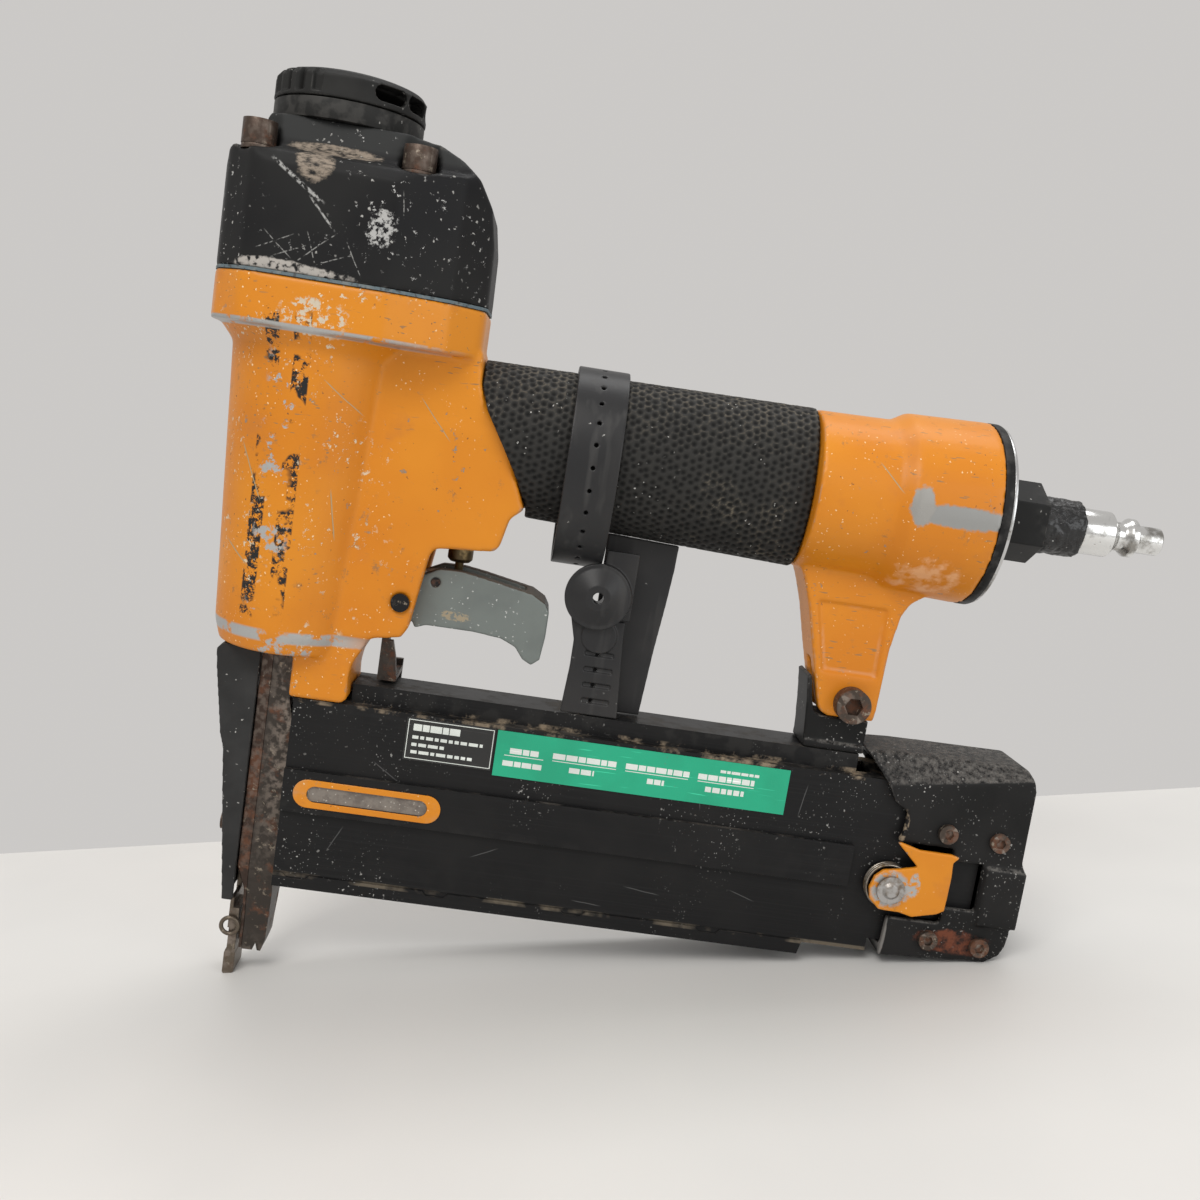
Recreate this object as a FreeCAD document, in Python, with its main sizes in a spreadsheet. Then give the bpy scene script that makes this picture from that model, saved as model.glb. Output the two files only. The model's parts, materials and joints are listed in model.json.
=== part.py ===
"""Brad nailer: a pneumatic nailer for 18 gauge brads, built piece by piece.

The frame: origin on the driver axis in the plane where the work contact meets
the work, +Z up along the driver axis towards the cap, +X to the rear along the
handle, Y across the tool. Millimetres, real size.
"""
import FreeCAD, Part
import math
import os
import Sketcher
from FreeCAD import Rotation, Vector

DOC = FreeCAD.newDocument("brad_nailer")
SHEET = DOC.addObject("Spreadsheet::Sheet", "sizes")

# ---------------------------------------------------------------- driving sizes
SIZES = {
    # clearances
    "seat_gap": 0.3,            # between pieces that lie against each other
    "running_gap": 0.06,        # radial, shaft in hole
    "slide_gap": 0.4,           # between moving pieces and what they pass
    # barrel and cap of the housing
    "barrel_low": 97.7,
    "barrel_bevel": 103.2,
    "barrel_top": 178.2,
    "barrel_low_radius": 18.4,
    "barrel_foot_radius": 20.0,
    "barrel_top_radius": 23.3,
    "barrel_bore_radius": 17.0,
    "barrel_floor": 3.3,
    "collar_low": 182.6,
    "collar_top": 195.2,
    "collar_front": 28.0,
    "collar_rear": 43.4,
    "collar_half_width": 27.5,
    "collar_rear_half_width": 13.5,
    "collar_corner": 6.0,
    "chamber_radius": 20.2,
    "gasket_thickness": 0.8,
    "cap_shoulder": 222.0,
    "cap_top": 235.3,
    "neck_radius": 17.2,
    "exhaust_port_radius": 12.0,
    "screw_seat": 224.6,
    "screw_front": 18.0,
    "screw_rear": 22.0,
    "screw_side": 20.0,
    "screw_shank_radius": 2.5,
    "screw_head_radius": 4.25,
    "screw_head_height": 6.0,
    "washer_thickness": 1.3,
    "deflector_seam": 240.3,
    "deflector_top": 248.0,
    "deflector_radius": 19.7,
    # cylinder, piston and driver
    "sleeve_radius": 15.6,
    "bore_radius": 14.0,
    "sleeve_top": 193.5,
    "bumper_height": 7.7,
    "piston_low": 187.2,
    "piston_height": 6.0,
    "blade_tip": 88.0,
    "blade_long": 1.6,
    "blade_thin": 0.6,
    "head_valve_height": 11.0,
    # handle, bell and leg
    "web_half_width": 14.0,
    "grip_front": 44.0,
    "grip_rear": 136.0,
    "grip_axis_front": 163.2,
    "handle_axis": 162.2,
    "grip_half_height": 21.2,
    "grip_half_width": 17.0,
    "grip_thickness": 2.8,
    "handle_bore_radius": 10.5,
    "bell_front": 161.5,
    "bell_rear": 184.5,
    "bell_radius": 25.6,
    "bell_bore_radius": 22.4,
    "leg_half_width": 7.8,
    "leg_foot": 100.4,
    "leg_slot": 2.2,
    # air inlet
    "end_cap_thickness": 2.5,
    "rim_thickness": 0.9,
    "hex_flats": 20.0,
    "hex_rear": 203.3,
    "nipple_radius": 8.0,
    "nipple_rear": 215.3,
    "plug_collar_radius": 6.5,
    "plug_collar_rear": 225.1,
    "plug_neck_radius": 4.1,
    "plug_ridge_radius": 5.5,
    "plug_ridge_rear": 232.8,
    "plug_nose_radius": 3.95,
    "plug_rear": 240.0,
    # trigger group
    "pivot_x": 31.0,
    "pivot_z": 115.9,
    "pivot_radius": 2.2,
    "trigger_half_width": 7.8,
    "trigger_side_gap": 0.6,  # each side, in the slot of the housing
    "trigger_slot_top": 131.7,
    "trigger_channel": 3.9,
    "rocker_x": 39.2,
    "rocker_z": 121.8,
    "rocker_pin_radius": 1.3,
    "rocker_half_width": 3.0,
    "valve_x": 44.5,
    "valve_low": 127.4,
    "valve_top": 149.0,
    "valve_cap_radius": 3.5,
    "valve_body_radius": 5.0,
    "stem_radius": 1.2,
    "stem_low": 124.7,
    # nose
    "nose_tip": 8.3,
    "nose_top": 97.3,
    "nose_rear": 3.9,
    "nose_half_width": 8.0,
    "guide_thickness": 3.2,
    "nose_tip_half_width": 5.2,
    "nose_screw_radius": 1.5,
    "nose_screw_head": 2.0,
    "cover_front": 17.0,
    "cover_half_width": 9.6,
    "cover_wall": 1.6,
    "cover_low": 24.2,
    "contact_front": 6.4,
    "contact_thickness": 1.6,
    "contact_half_width": 5.0,
    # magazine
    "magazine_front": 5.6,
    "magazine_half_width": 11.5,
    "magazine_wall": 1.6,
    "magazine_low": 31.0,
    "magazine_top": 85.3,
    "magazine_rear": 175.0,
    "rail_top": 90.5,
    "rail_half_width": 7.5,
    "rail_front": 20.6,
    "rail_set_back": 11.0,  # from the magazine's rear end
    "band_low": 53.5,
    "band_high": 65.5,
    "band_proud": 1.5,
    "band_set_back": 8.9,
    "window_front": 8.7,
    "window_length": 40.7,
    "window_height": 8.0,
    "window_slot_length": 33.2,
    "window_slot_height": 4.5,
    "window_z": 59.3,
    "brad_slot": 0.8,
    "brad_rail_wall": 2.0,
    "brad_rail_top": 80.0,
    # end casting and latch
    "casting_proud": 3.0,  # outside the magazine's side
    "casting_wall": 2.2,
    "casting_length": 41.0,  # behind the magazine's rear end
    "casting_low": 35.0,
    "casting_floor": 2.6,
    "casting_shoulder": 84.6,
    "casting_top": 93.8,
    "tongue_length": 28.0,
    "latch_set_back": 2.1,  # behind the magazine's rear end
    "latch_z": 55.6,
    "latch_rivet_radius": 2.6,
    "latch_thickness": 1.5,
    # bracket and strap
    "bracket_plate": 1.8,
    "bracket_rear": 165.2,
    "bracket_screw_x": 158.7,
    "bracket_screw_z": 104.8,
    "strap_x": 76.5,
    "strap_width": 14.0,
    "strap_thickness": 1.7,
    "strap_drop": 8.9,  # the loop hangs this far below the grip
    "label_thickness": 0.2,
}


class Size:
    """A number together with the sheet formula that gives it."""

    def __init__(self, value, formula):
        self.value = value
        self.formula = formula

    def _join(self, other, sign, value):
        return Size(value, "(%s %s %s)" % (self.formula, sign, as_size(other).formula))

    def __add__(self, other):
        return self._join(other, "+", self.value + as_size(other).value)

    def __sub__(self, other):
        return self._join(other, "-", self.value - as_size(other).value)

    def __mul__(self, other):
        return self._join(other, "*", self.value * as_size(other).value)

    def __truediv__(self, other):
        return self._join(other, "/", self.value / as_size(other).value)

    def __radd__(self, other):
        return as_size(other) + self

    def __rsub__(self, other):
        return as_size(other) - self

    def __rmul__(self, other):
        return as_size(other) * self

    def __neg__(self):
        return 0 - self


def as_size(number):
    """A Size from a Size or a plain number."""
    if isinstance(number, Size):
        return number
    return Size(float(number), "(%.6g)" % number)


class Sheet:
    """Gives each driving size by its name, bound to its cell."""

    def __getattr__(self, name):
        return Size(SIZES[name], "sizes." + name)


def fill_sheet():
    for row, (name, value) in enumerate(SIZES.items(), start=1):
        SHEET.set("A%d" % row, name.replace("_", " "))
        SHEET.set("B%d" % row, "%g" % value)
        SHEET.setAlias("B%d" % row, name)
    DOC.recompute()


fill_sheet()
D = Sheet()
NODES = []

# ---------------------------------------------------------------- small builders
TURNS = {
    "+Z": Rotation(),
    "-Z": Rotation(Vector(1, 0, 0), 180),
    "+X": Rotation(Vector(0, 1, 0), 90),
    "-X": Rotation(Vector(0, 1, 0), -90),
    "+Y": Rotation(Vector(1, 0, 0), -90),
    "-Y": Rotation(Vector(1, 0, 0), 90),
}


def bind(item, prop, size):
    """Ties one property of an object to the sheet."""
    item.setExpression(prop, as_size(size).formula)


def place(item, at, direction="+Z"):
    """Puts an object's own origin at a point, its Z axis along a direction."""
    item.Placement = FreeCAD.Placement(Vector(), TURNS[direction])
    for axis, size in zip("xyz", at):
        bind(item, "Placement.Base." + axis, size)
    return item


def box(name, low, high):
    item = DOC.addObject("Part::Box", name)
    for prop, start, end in zip(("Length", "Width", "Height"), low, high):
        bind(item, prop, as_size(end) - start)
    return place(item, low)


def cylinder(name, radius, length, at, direction="+Z"):
    item = DOC.addObject("Part::Cylinder", name)
    bind(item, "Radius", radius)
    bind(item, "Height", length)
    return place(item, at, direction)


def cone(name, radius_near, radius_far, length, at, direction="+Z"):
    item = DOC.addObject("Part::Cone", name)
    bind(item, "Radius1", radius_near)
    bind(item, "Radius2", radius_far)
    bind(item, "Height", length)
    return place(item, at, direction)


def torus(name, ring_radius, wire_radius, at, direction="+Z"):
    item = DOC.addObject("Part::Torus", name)
    bind(item, "Radius1", ring_radius)
    bind(item, "Radius2", wire_radius)
    return place(item, at, direction)


def hexagon(name, corner_radius, length, at, direction="+Z"):
    item = DOC.addObject("Part::Prism", name)
    item.Polygon = 6
    bind(item, "Circumradius", corner_radius)
    bind(item, "Height", length)
    return place(item, at, direction)


def tube(name, outer, inner, length, at, direction="+Z"):
    return cut(name, cylinder(name + "_outer", outer, length, at, direction),
               cylinder(name + "_inner", inner, length, at, direction))


def fuse(name, *items):
    item = DOC.addObject("Part::MultiFuse", name)
    item.Shapes = list(items)
    item.Refine = True
    return item


def cut(name, base, *tools):
    item = DOC.addObject("Part::Cut", name)
    item.Base = base
    item.Tool = tools[0] if len(tools) == 1 else fuse(name + "_tools", *tools)
    item.Refine = True
    return item


def common(name, *items):
    item = DOC.addObject("Part::MultiCommon", name)
    item.Shapes = list(items)
    item.Refine = True
    return item


def group(name, items):
    item = DOC.addObject("Part::Compound", name)
    item.Links = list(items)
    return item


def origin_plane(body, role):
    return next(f for f in body.Origin.OriginFeatures if f.Role == role)


def sketch_polygon(body, name, role, points, offset):
    """A closed outline whose every corner is tied to the sheet."""
    sketch = body.newObject("Sketcher::SketchObject", name)
    sketch.AttachmentSupport = (origin_plane(body, role), [""])
    sketch.MapMode = "FlatFace"
    bind(sketch, "AttachmentOffset.Base.z", offset)
    corners = [tuple(as_size(c) for c in point) for point in points]
    flat = [Vector(u.value, v.value, 0) for u, v in corners]
    count = len(flat)
    for i in range(count):
        sketch.addGeometry(Part.LineSegment(flat[i], flat[(i + 1) % count]), False)
    for i in range(count):
        sketch.addConstraint(Sketcher.Constraint("Coincident", i, 2, (i + 1) % count, 1))
    for i, (u, v) in enumerate(corners):
        for kind, size in (("DistanceX", u), ("DistanceY", v)):
            rule = sketch.addConstraint(Sketcher.Constraint(kind, -1, 1, i, 1, size.value))
            sketch.setExpression("Constraints[%d]" % rule, size.formula)
    return sketch


def round_edges(body, feature, radius, wanted):
    """Adds a fillet on the edges of a feature that a test picks out."""
    DOC.recompute()
    names = ["Edge%d" % (i + 1) for i, edge in enumerate(feature.Shape.Edges) if wanted(edge)]
    fillet = body.newObject("PartDesign::Fillet", body.Name + "_round")
    fillet.Base = (feature, names)
    bind(fillet, "Radius", radius)
    body.Tip = fillet
    return fillet


PLANES = {"XZ": "XZ_Plane", "XY": "XY_Plane", "YZ": "YZ_Plane"}


def along(plane):
    """A test for edges square to a plane, the corners of a padded outline."""
    axis = {"XZ": Vector(0, 1, 0), "XY": Vector(0, 0, 1), "YZ": Vector(1, 0, 0)}[plane]

    def wanted(edge):
        if edge.Curve.TypeId != "Part::GeomLine":
            return False
        return abs(abs(edge.Curve.Direction.dot(axis)) - 1) < 1e-6
    return wanted


def prism(name, plane, points, low, high, corner=None, near=None):
    """Pads an outline between two planes; corner rounds the edges near picks."""
    body = DOC.addObject("PartDesign::Body", name)
    start = -as_size(high) if plane == "XZ" else as_size(low)
    sketch = sketch_polygon(body, name + "_outline", PLANES[plane], points, start)
    pad = body.newObject("PartDesign::Pad", name + "_pad")
    pad.Profile = sketch
    bind(pad, "Length", as_size(high) - low)
    sketch.Visibility = False
    body.Tip = pad
    if corner is not None:
        square = along(plane)
        picked = near or (lambda point: True)
        round_edges(body, pad, corner,
                    lambda e: square(e) and picked(e.Vertexes[0].Point))
    return body


def turned(name, points, at=(0, 0, 0), direction="Z"):
    """Turns an outline of (radius, height) points about an axis."""
    body = DOC.addObject("PartDesign::Body", name)
    if direction == "Z":
        role, axis, outline = "XZ_Plane", "V_Axis", points
    elif direction == "X":
        role, axis, outline = "XZ_Plane", "H_Axis", [(v, u) for u, v in points]
    else:
        role, axis, outline = "YZ_Plane", "H_Axis", [(v, u) for u, v in points]
    sketch = sketch_polygon(body, name + "_outline", role, outline, 0)
    turn = body.newObject("PartDesign::Revolution", name + "_turn")
    turn.Profile = sketch
    turn.ReferenceAxis = (sketch, [axis])
    turn.Angle = 360
    body.Tip = turn
    return place(body, at)


def own_shape(name, shape):
    item = DOC.addObject("Part::Feature", name)
    item.Shape = shape
    item.Placement = FreeCAD.Placement()
    return item


def oval_wire(x, z, half_width, half_height):
    """An ellipse across the handle, standing in a plane of constant X."""
    upright = half_height >= half_width
    major = Vector(x, 0, z + half_height) if upright else Vector(x, half_width, z)
    minor = Vector(x, half_width, z) if upright else Vector(x, 0, z + half_height)
    return Part.Wire([Part.Ellipse(major, minor, Vector(x, 0, z)).toShape()])


def oval_bar(name, ends):
    """A bar through oval sections, each (x, z, half width, half height)."""
    wires = [oval_wire(*[as_size(v).value for v in end]) for end in ends]
    return own_shape(name, Part.makeLoft(wires, True, True))


def spring(name, ring_radius, wire_radius, pitch, length, at, direction="+Z"):
    """A coil of round wire, standing on a point."""
    helix = Part.makeLongHelix(pitch, length, ring_radius)
    start = Vector(ring_radius, 0, 0)
    section = Part.Wire([Part.Circle(start, Vector(0, 1, 0), wire_radius).toShape()])
    coil = Part.Wire(helix.Edges).makePipeShell([section], True, True)
    item = own_shape(name, coil)
    item.Placement = FreeCAD.Placement(Vector(*[as_size(v).value for v in at]), TURNS[direction])
    return item


def node(name, item):
    """Names a finished sub-part; its label names its file."""
    item.Label = name
    NODES.append(item)
    return item


# ---------------------------------------------------------------- shared outlines
def collar_outline():
    """The top view that collar, gasket and cap share: blunt front, narrow rear."""
    front, rear = D.collar_front, D.collar_rear
    side, tail = D.collar_half_width, D.collar_rear_half_width
    half = [(-front, side - 18), (3 - front, side - 8.4), (10.5 - front, side - 1.2),
            (15 - front, side), (rear - 25, side),
            (rear - 9, side - 5.5), (rear, tail)]
    return half + [(x, -as_size(y)) for x, y in reversed(half)]


def screw_places():
    places = []
    for x in (-D.screw_front, D.screw_rear):
        for y in (-D.screw_side, D.screw_side):
            places.append((x, y))
    return places


def grip_boundary(shift):
    """Where the web ends and the grip begins, from the top down."""
    front = D.grip_front + shift
    return [(front, 184.2), (front + 0.5, 176.4), (front + 2.8, 170.0),
            (front + 8.0, 161.6), (front + 13.4, 152.3), (front + 16.2, 145.3)]


def grip_section(x, shrink):
    """The grip's oval at a place along the handle, a little deeper to the rear."""
    run = (x - D.grip_front) / (D.grip_rear - D.grip_front)
    height = D.grip_half_height - 1.0 + run * 2.0
    middle = D.grip_axis_front + run * (D.handle_axis - D.grip_axis_front)
    return (x, middle, D.grip_half_width - shrink, height - shrink)


# ---------------------------------------------------------------- housing
def make_housing():
    barrel = turned("barrel", [
        (0, D.barrel_low), (D.barrel_low_radius, D.barrel_low),
        (D.barrel_foot_radius, D.barrel_bevel), (D.barrel_top_radius, D.barrel_top),
        (D.barrel_top_radius + 3.6, D.collar_low), (0, D.collar_low)])
    collar = prism("collar", "XY", collar_outline(), D.collar_low, D.collar_top, D.collar_corner)
    web = prism("web", "XZ", [
        (-2, D.collar_low + 2), (-2, D.barrel_bevel + 1), (24.2, 104.8), (32.3, 106.3),
        (33.9, 109.1), (37.0, 129.8), (38.4, D.trigger_slot_top), (53.7, 133.0),
        (55.2, 134.6), (56.9, 142.5)] + list(reversed(grip_boundary(0))),
        -D.web_half_width, D.web_half_width)
    lug = prism("lug", "XZ", [
        (D.nose_rear + D.seat_gap, D.magazine_top + D.seat_gap),
        (18.5, D.magazine_top + D.seat_gap), (20.0, 87.2), (19.6, 93.0), (20.3, 97.3),
        (24.2, 104.8), (10, 108), (D.nose_rear + D.seat_gap, 100)], -13, 13)
    core = oval_bar("handle_core", [
        grip_section(D.grip_front - 22, D.grip_thickness),
        grip_section(D.grip_rear + 6, D.grip_thickness)])
    bell = turned("bell", [
        (0, D.grip_rear + D.seat_gap), (21.9, D.grip_rear + D.seat_gap),
        (22.4, D.bell_front - 4), (D.bell_radius - 0.8, D.bell_front),
        (D.bell_radius, D.bell_rear), (0, D.bell_rear)],
        (0, 0, D.handle_axis), "X")
    leg = prism("leg", "XZ", [
        (136.4, 143.5), (138.6, 140.2), (140.2, 136.6), (142.5, 129.8), (145.3, 119.1),
        (149.4, 104.4), (150.4, 101.6), (152.6, D.leg_foot), (166.4, D.leg_foot), (167.2, 122.0),
        (168.6, 131.2), (170.6, 135.0), (174.2, 137.6), (178, 138.6), (172, 150), (140, 150)],
        -D.leg_half_width, D.leg_half_width)
    solid = fuse("housing_solid", barrel, collar, web, lug, core, bell, leg)

    floor = D.barrel_low + D.barrel_floor
    tools = [
        cylinder("barrel_bore", D.barrel_bore_radius, D.barrel_top - floor, (0, 0, floor)),
        cylinder("chamber", D.chamber_radius, D.collar_top - D.barrel_top + 1,
                 (0, 0, D.barrel_top)),
        cylinder("driver_hole", 4.0, D.barrel_floor + 2, (0, 0, D.barrel_low - 1)),
        cylinder("handle_bore", D.handle_bore_radius, D.bell_rear - 16,
                 (16, 0, D.handle_axis), "+X"),
        cylinder("bell_bore", D.bell_bore_radius, 14, (D.bell_rear - 12.5, 0, D.handle_axis), "+X"),
        box("trigger_slot", (24.8, -(D.trigger_half_width + D.trigger_side_gap), 100),
            (64, (D.trigger_half_width + D.trigger_side_gap), D.trigger_slot_top)),
        cylinder("pivot_hole", D.pivot_radius + D.running_gap, 40, (D.pivot_x, 20, D.pivot_z), "-Y"),
        cylinder("valve_bore", D.valve_body_radius + D.seat_gap, 26,
                 (D.valve_x, 0, D.trigger_slot_top - 1)),
        box("leg_slot", (130, -D.leg_slot, D.leg_foot - 2), (175, D.leg_slot, D.leg_foot + 15)),
        cylinder("leg_screw_hole", 2.6, 40, (D.bracket_screw_x, 20, D.bracket_screw_z), "-Y"),
    ]
    for index, (x, y) in enumerate(screw_places()):
        tools.append(cylinder("collar_hole%d" % index, D.screw_shank_radius + D.running_gap,
                              14, (x, y, D.collar_top - 12)))
    for side in (-1, 1):
        outline = [(144.2, 132.9), (164.9, 132.9), (165.2, 112.6), (149.0, 112.6)]
        low, high = sorted((side * (SIZES["leg_half_width"] - 0.8), side * 12))
        tools.append(prism("leg_panel%d" % (side + 1), "XZ", outline, low, high))
    return node("housing", cut("housing_body", solid, *tools))


def make_grip():
    outer = oval_bar("grip_outer", [grip_section(D.grip_front - 6, 0), grip_section(D.grip_rear, 0)])
    hollow = oval_bar("grip_hollow", [
        grip_section(D.grip_front - 22, D.grip_thickness - D.seat_gap),
        grip_section(D.grip_rear + 6, D.grip_thickness - D.seat_gap)])
    front = prism("grip_front_cut", "XZ",
                  grip_boundary(D.seat_gap) + [(60.6, 138), (20, 138), (20, 190), (44, 190)],
                  -25, 25)
    return node("grip_sleeve", cut("grip_body", outer, hollow, front))


# ---------------------------------------------------------------- cap and exhaust
def make_gasket():
    plate = prism("gasket_plate", "XY", collar_outline(), D.collar_top,
                  D.collar_top + D.gasket_thickness, D.collar_corner)
    tools = [cylinder("gasket_bore", D.chamber_radius, 4, (0, 0, D.collar_top - 1))]
    for index, (x, y) in enumerate(screw_places()):
        tools.append(cylinder("gasket_hole%d" % index, D.screw_shank_radius + D.seat_gap, 4,
                              (x, y, D.collar_top - 1)))
    return node("cap_gasket", cut("gasket_body", plate, *tools))


def make_cap():
    low = D.collar_top + D.gasket_thickness
    rear = D.collar_rear
    plan = prism("cap_plan", "XY", collar_outline(), low, D.cap_top, D.collar_corner)
    side = prism("cap_side", "XZ", [
        (-D.collar_front, low), (-D.collar_front, D.cap_shoulder),
        (2.2 - D.collar_front, D.cap_shoulder + 3), (-D.neck_radius - 2.5, D.cap_shoulder + 5.2),
        (-D.neck_radius, D.cap_top), (D.neck_radius + 2, D.cap_top),
        (rear - 17.5, D.cap_top - 1.2), (rear - 10.6, D.cap_top - 4.6),
        (rear - 5.7, D.cap_top - 8.6), (rear - 2.1, D.cap_top - 14.6),
        (rear - 0.4, D.cap_top - 24), (rear, low)], -40, 40)
    front_half = [(D.collar_half_width, low), (D.collar_half_width, D.cap_shoulder),
                  (D.collar_half_width - 2.2, D.cap_shoulder + 3),
                  (D.neck_radius + 2.5, D.cap_shoulder + 5.2), (D.neck_radius, D.cap_top)]
    front = prism("cap_front", "YZ", front_half + [(-y, z) for y, z in reversed(front_half)],
                  -40, 60)
    tools = [
        cylinder("valve_chamber", D.chamber_radius - D.seat_gap, 17, (0, 0, low - 1)),
        cylinder("spring_chamber", D.exhaust_port_radius, D.cap_top - low + 2, (0, 0, low - 1)),
    ]
    for index, (x, y) in enumerate(screw_places()):
        tools.append(cylinder("cap_seat%d" % index, D.screw_head_radius + 0.7, 30,
                              (x, y, D.screw_seat)))
        tools.append(cylinder("cap_hole%d" % index, D.screw_shank_radius + D.seat_gap, 50,
                              (x, y, low - 1)))
    return node("cylinder_cap", cut("cap_body", common("cap_solid", plan, side, front), *tools))


def socket_screw(name, head_radius, head_height, shank_radius, shank_length, at, direction):
    """A socket head cap screw; the point is the head's underside."""
    head = cylinder(name + "_head", head_radius, head_height, at, direction)
    opposite = direction.replace("+", "?").replace("-", "+").replace("?", "-")
    shank = cylinder(name + "_shank", shank_radius, shank_length, at, opposite)
    whole = fuse(name + "_whole", head, shank)
    depth = as_size(head_height) * 0.55
    step = as_size(head_height) - depth
    axis = "XYZ".index(direction[1])
    sign = 1 if direction[0] == "+" else -1
    mouth = list(at)
    mouth[axis] = as_size(at[axis]) + step * sign
    socket = hexagon(name + "_socket", as_size(head_radius) * 0.54, depth + 1, mouth, direction)
    return cut(name, whole, socket)


def make_cap_screws():
    screws, washers = [], []
    for index, (x, y) in enumerate(screw_places()):
        seat = D.screw_seat + D.washer_thickness
        screws.append(socket_screw("cap_screw%d" % index, D.screw_head_radius,
                                   D.screw_head_height, D.screw_shank_radius,
                                   38, (x, y, seat), "+Z"))
        washers.append(tube("cap_washer%d" % index, D.screw_head_radius - 0.1,
                            D.screw_shank_radius + 0.15, D.washer_thickness,
                            (x, y, D.screw_seat)))
    node("cap_screws", group("cap_screw_set", screws))
    node("cap_lock_washers", group("cap_washer_set", washers))


def make_exhaust():
    seam = D.deflector_seam
    ring = tube("base_ring", D.deflector_radius - 0.2, D.deflector_radius - 4,
                seam - D.cap_top, (0, 0, D.cap_top))
    hub = cylinder("base_hub", 5, seam - D.cap_top - 1, (0, 0, D.cap_top))
    spokes = []
    for index in range(3):
        spoke = box("base_spoke%d" % index, (3, -1.6, D.cap_top), (18.2, 1.6, seam - 1))
        holder = own_turn("base_spoke_turn%d" % index, spoke, 120 * index + 90)
        spokes.append(holder)
    solid = fuse("base_solid", ring, hub, *spokes)
    node("deflector_base", cut("base_body", solid,
                               cylinder("base_thread", 2.1, 8, (0, 0, D.cap_top - 1))))

    low = seam + D.seat_gap
    shell = turned("deflector_shell", [
        (2.3, low + 0.6), (6.5, low + 0.6), (6.5, D.deflector_top - 3),
        (D.deflector_radius - 2.2, D.deflector_top - 2.4), (D.deflector_radius - 2.2, low),
        (D.deflector_radius, low), (D.deflector_radius, D.deflector_top - 2.2),
        (D.deflector_radius - 1.2, D.deflector_top - 0.7),
        (D.deflector_radius - 3.5, D.deflector_top), (6.2, D.deflector_top),
        (4.6, D.deflector_top - 2.6), (2.3, D.deflector_top - 2.6)])
    cuts = []
    for index in range(7):
        flute = cylinder("flute%d" % index, 1.3, 14, (D.deflector_radius + 0.35, 0, low + 0.9))
        cuts.append(own_turn("flute_turn%d" % index, flute, 150 + 14.5 * index))
    for index in range(3):
        reach, middle = D.deflector_radius + 3, low + (D.deflector_top - low) * 0.47
        parts = [box("vent%d" % index, (D.deflector_radius - 5, -2.8, middle - 1.9), (reach, 2.8, middle + 1.9))]
        parts += [cylinder("vent%d_end%d" % (index, side), 1.9, 8,
                           (D.deflector_radius - 5, 2.8 * side, middle), "+X") for side in (-1, 1)]
        cuts.append(own_turn("vent_turn%d" % index, fuse("vent_whole%d" % index, *parts), -50 + 30 * index))
    node("exhaust_deflector", cut("deflector_body", shell, *cuts))

    screw = socket_screw("deflector_screw_body", 3.6, 2.3, 2.0, 10.5,
                         (0, 0, D.deflector_top - 2.3), "+Z")
    node("deflector_screw", screw)


def own_turn(name, item, degrees):
    """The same solid turned about the driver axis."""
    holder = DOC.addObject("Part::Compound", name)
    holder.Links = [item]
    holder.Placement = FreeCAD.Placement(Vector(), Rotation(Vector(0, 0, 1), degrees))
    return holder


# ---------------------------------------------------------------- cylinder group
def make_cylinder_group():
    floor = D.barrel_low + D.barrel_floor + D.seat_gap
    step = D.barrel_top + D.seat_gap
    node("cylinder_sleeve", turned("sleeve_body", [
        (D.bore_radius, floor), (D.sleeve_radius, floor), (D.sleeve_radius, step),
        (D.chamber_radius - D.seat_gap, step), (D.chamber_radius - D.seat_gap, step + 3),
        (D.sleeve_radius, step + 3), (D.sleeve_radius, D.sleeve_top),
        (D.bore_radius, D.sleeve_top)]))
    upper = torus("sleeve_ring_upper", D.chamber_radius - 1.3, 0.9, (0, 0, step + 4.2))
    middle = (D.sleeve_radius + D.barrel_bore_radius) / 2
    lower = torus("sleeve_ring_lower", middle, 0.6, (0, 0, floor + 3))
    node("sleeve_seal_rings", group("sleeve_ring_set", [upper, lower]))
    node("piston_bumper", tube("bumper_body", D.bore_radius - D.seat_gap, 4, D.bumper_height,
                               (0, 0, floor)))
    low, high = D.piston_low, D.piston_low + D.piston_height
    edge = D.bore_radius - D.running_gap
    groove = D.bore_radius - 1.9
    middle = D.piston_low + D.piston_height / 2
    node("piston", turned("piston_body", [
        (0, low), (edge, low), (edge, middle - 1), (groove, middle - 1), (groove, middle + 1),
        (edge, middle + 1), (edge, high), (9, high), (7.5, high - 2), (0, high - 2)]))
    node("piston_ring", torus("piston_ring_body", D.bore_radius - 1.0, 0.85, (0, 0, middle)))
    node("driver_blade", box("blade_body", (-D.blade_long, -D.blade_thin, D.blade_tip),
                             (D.blade_long, D.blade_thin, D.piston_low)))
    base = D.sleeve_top + D.seat_gap
    top = base + D.head_valve_height
    outer = D.chamber_radius - D.seat_gap - D.slide_gap
    node("head_valve", turned("head_valve_body", [
        (9.5, base), (15.8, base), (15.8, base + 2.4), (outer, base + 2.4), (outer, base + 5),
        (outer - 1.6, base + 5), (outer - 1.6, base + 7), (outer, base + 7), (outer, top),
        (13.6, top), (13.6, top - 4), (9.5, top - 4)]))
    node("head_valve_ring", torus("head_valve_ring_body", outer - 0.7, 0.85, (0, 0, base + 6)))
    spring_low = SIZES["sleeve_top"] + SIZES["seat_gap"] + SIZES["head_valve_height"] - 3.2
    node("head_valve_spring", spring("head_valve_spring_body", 10.9, 0.6, 3.65, 14.6,
                                     (0, 0, spring_low)))


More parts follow.
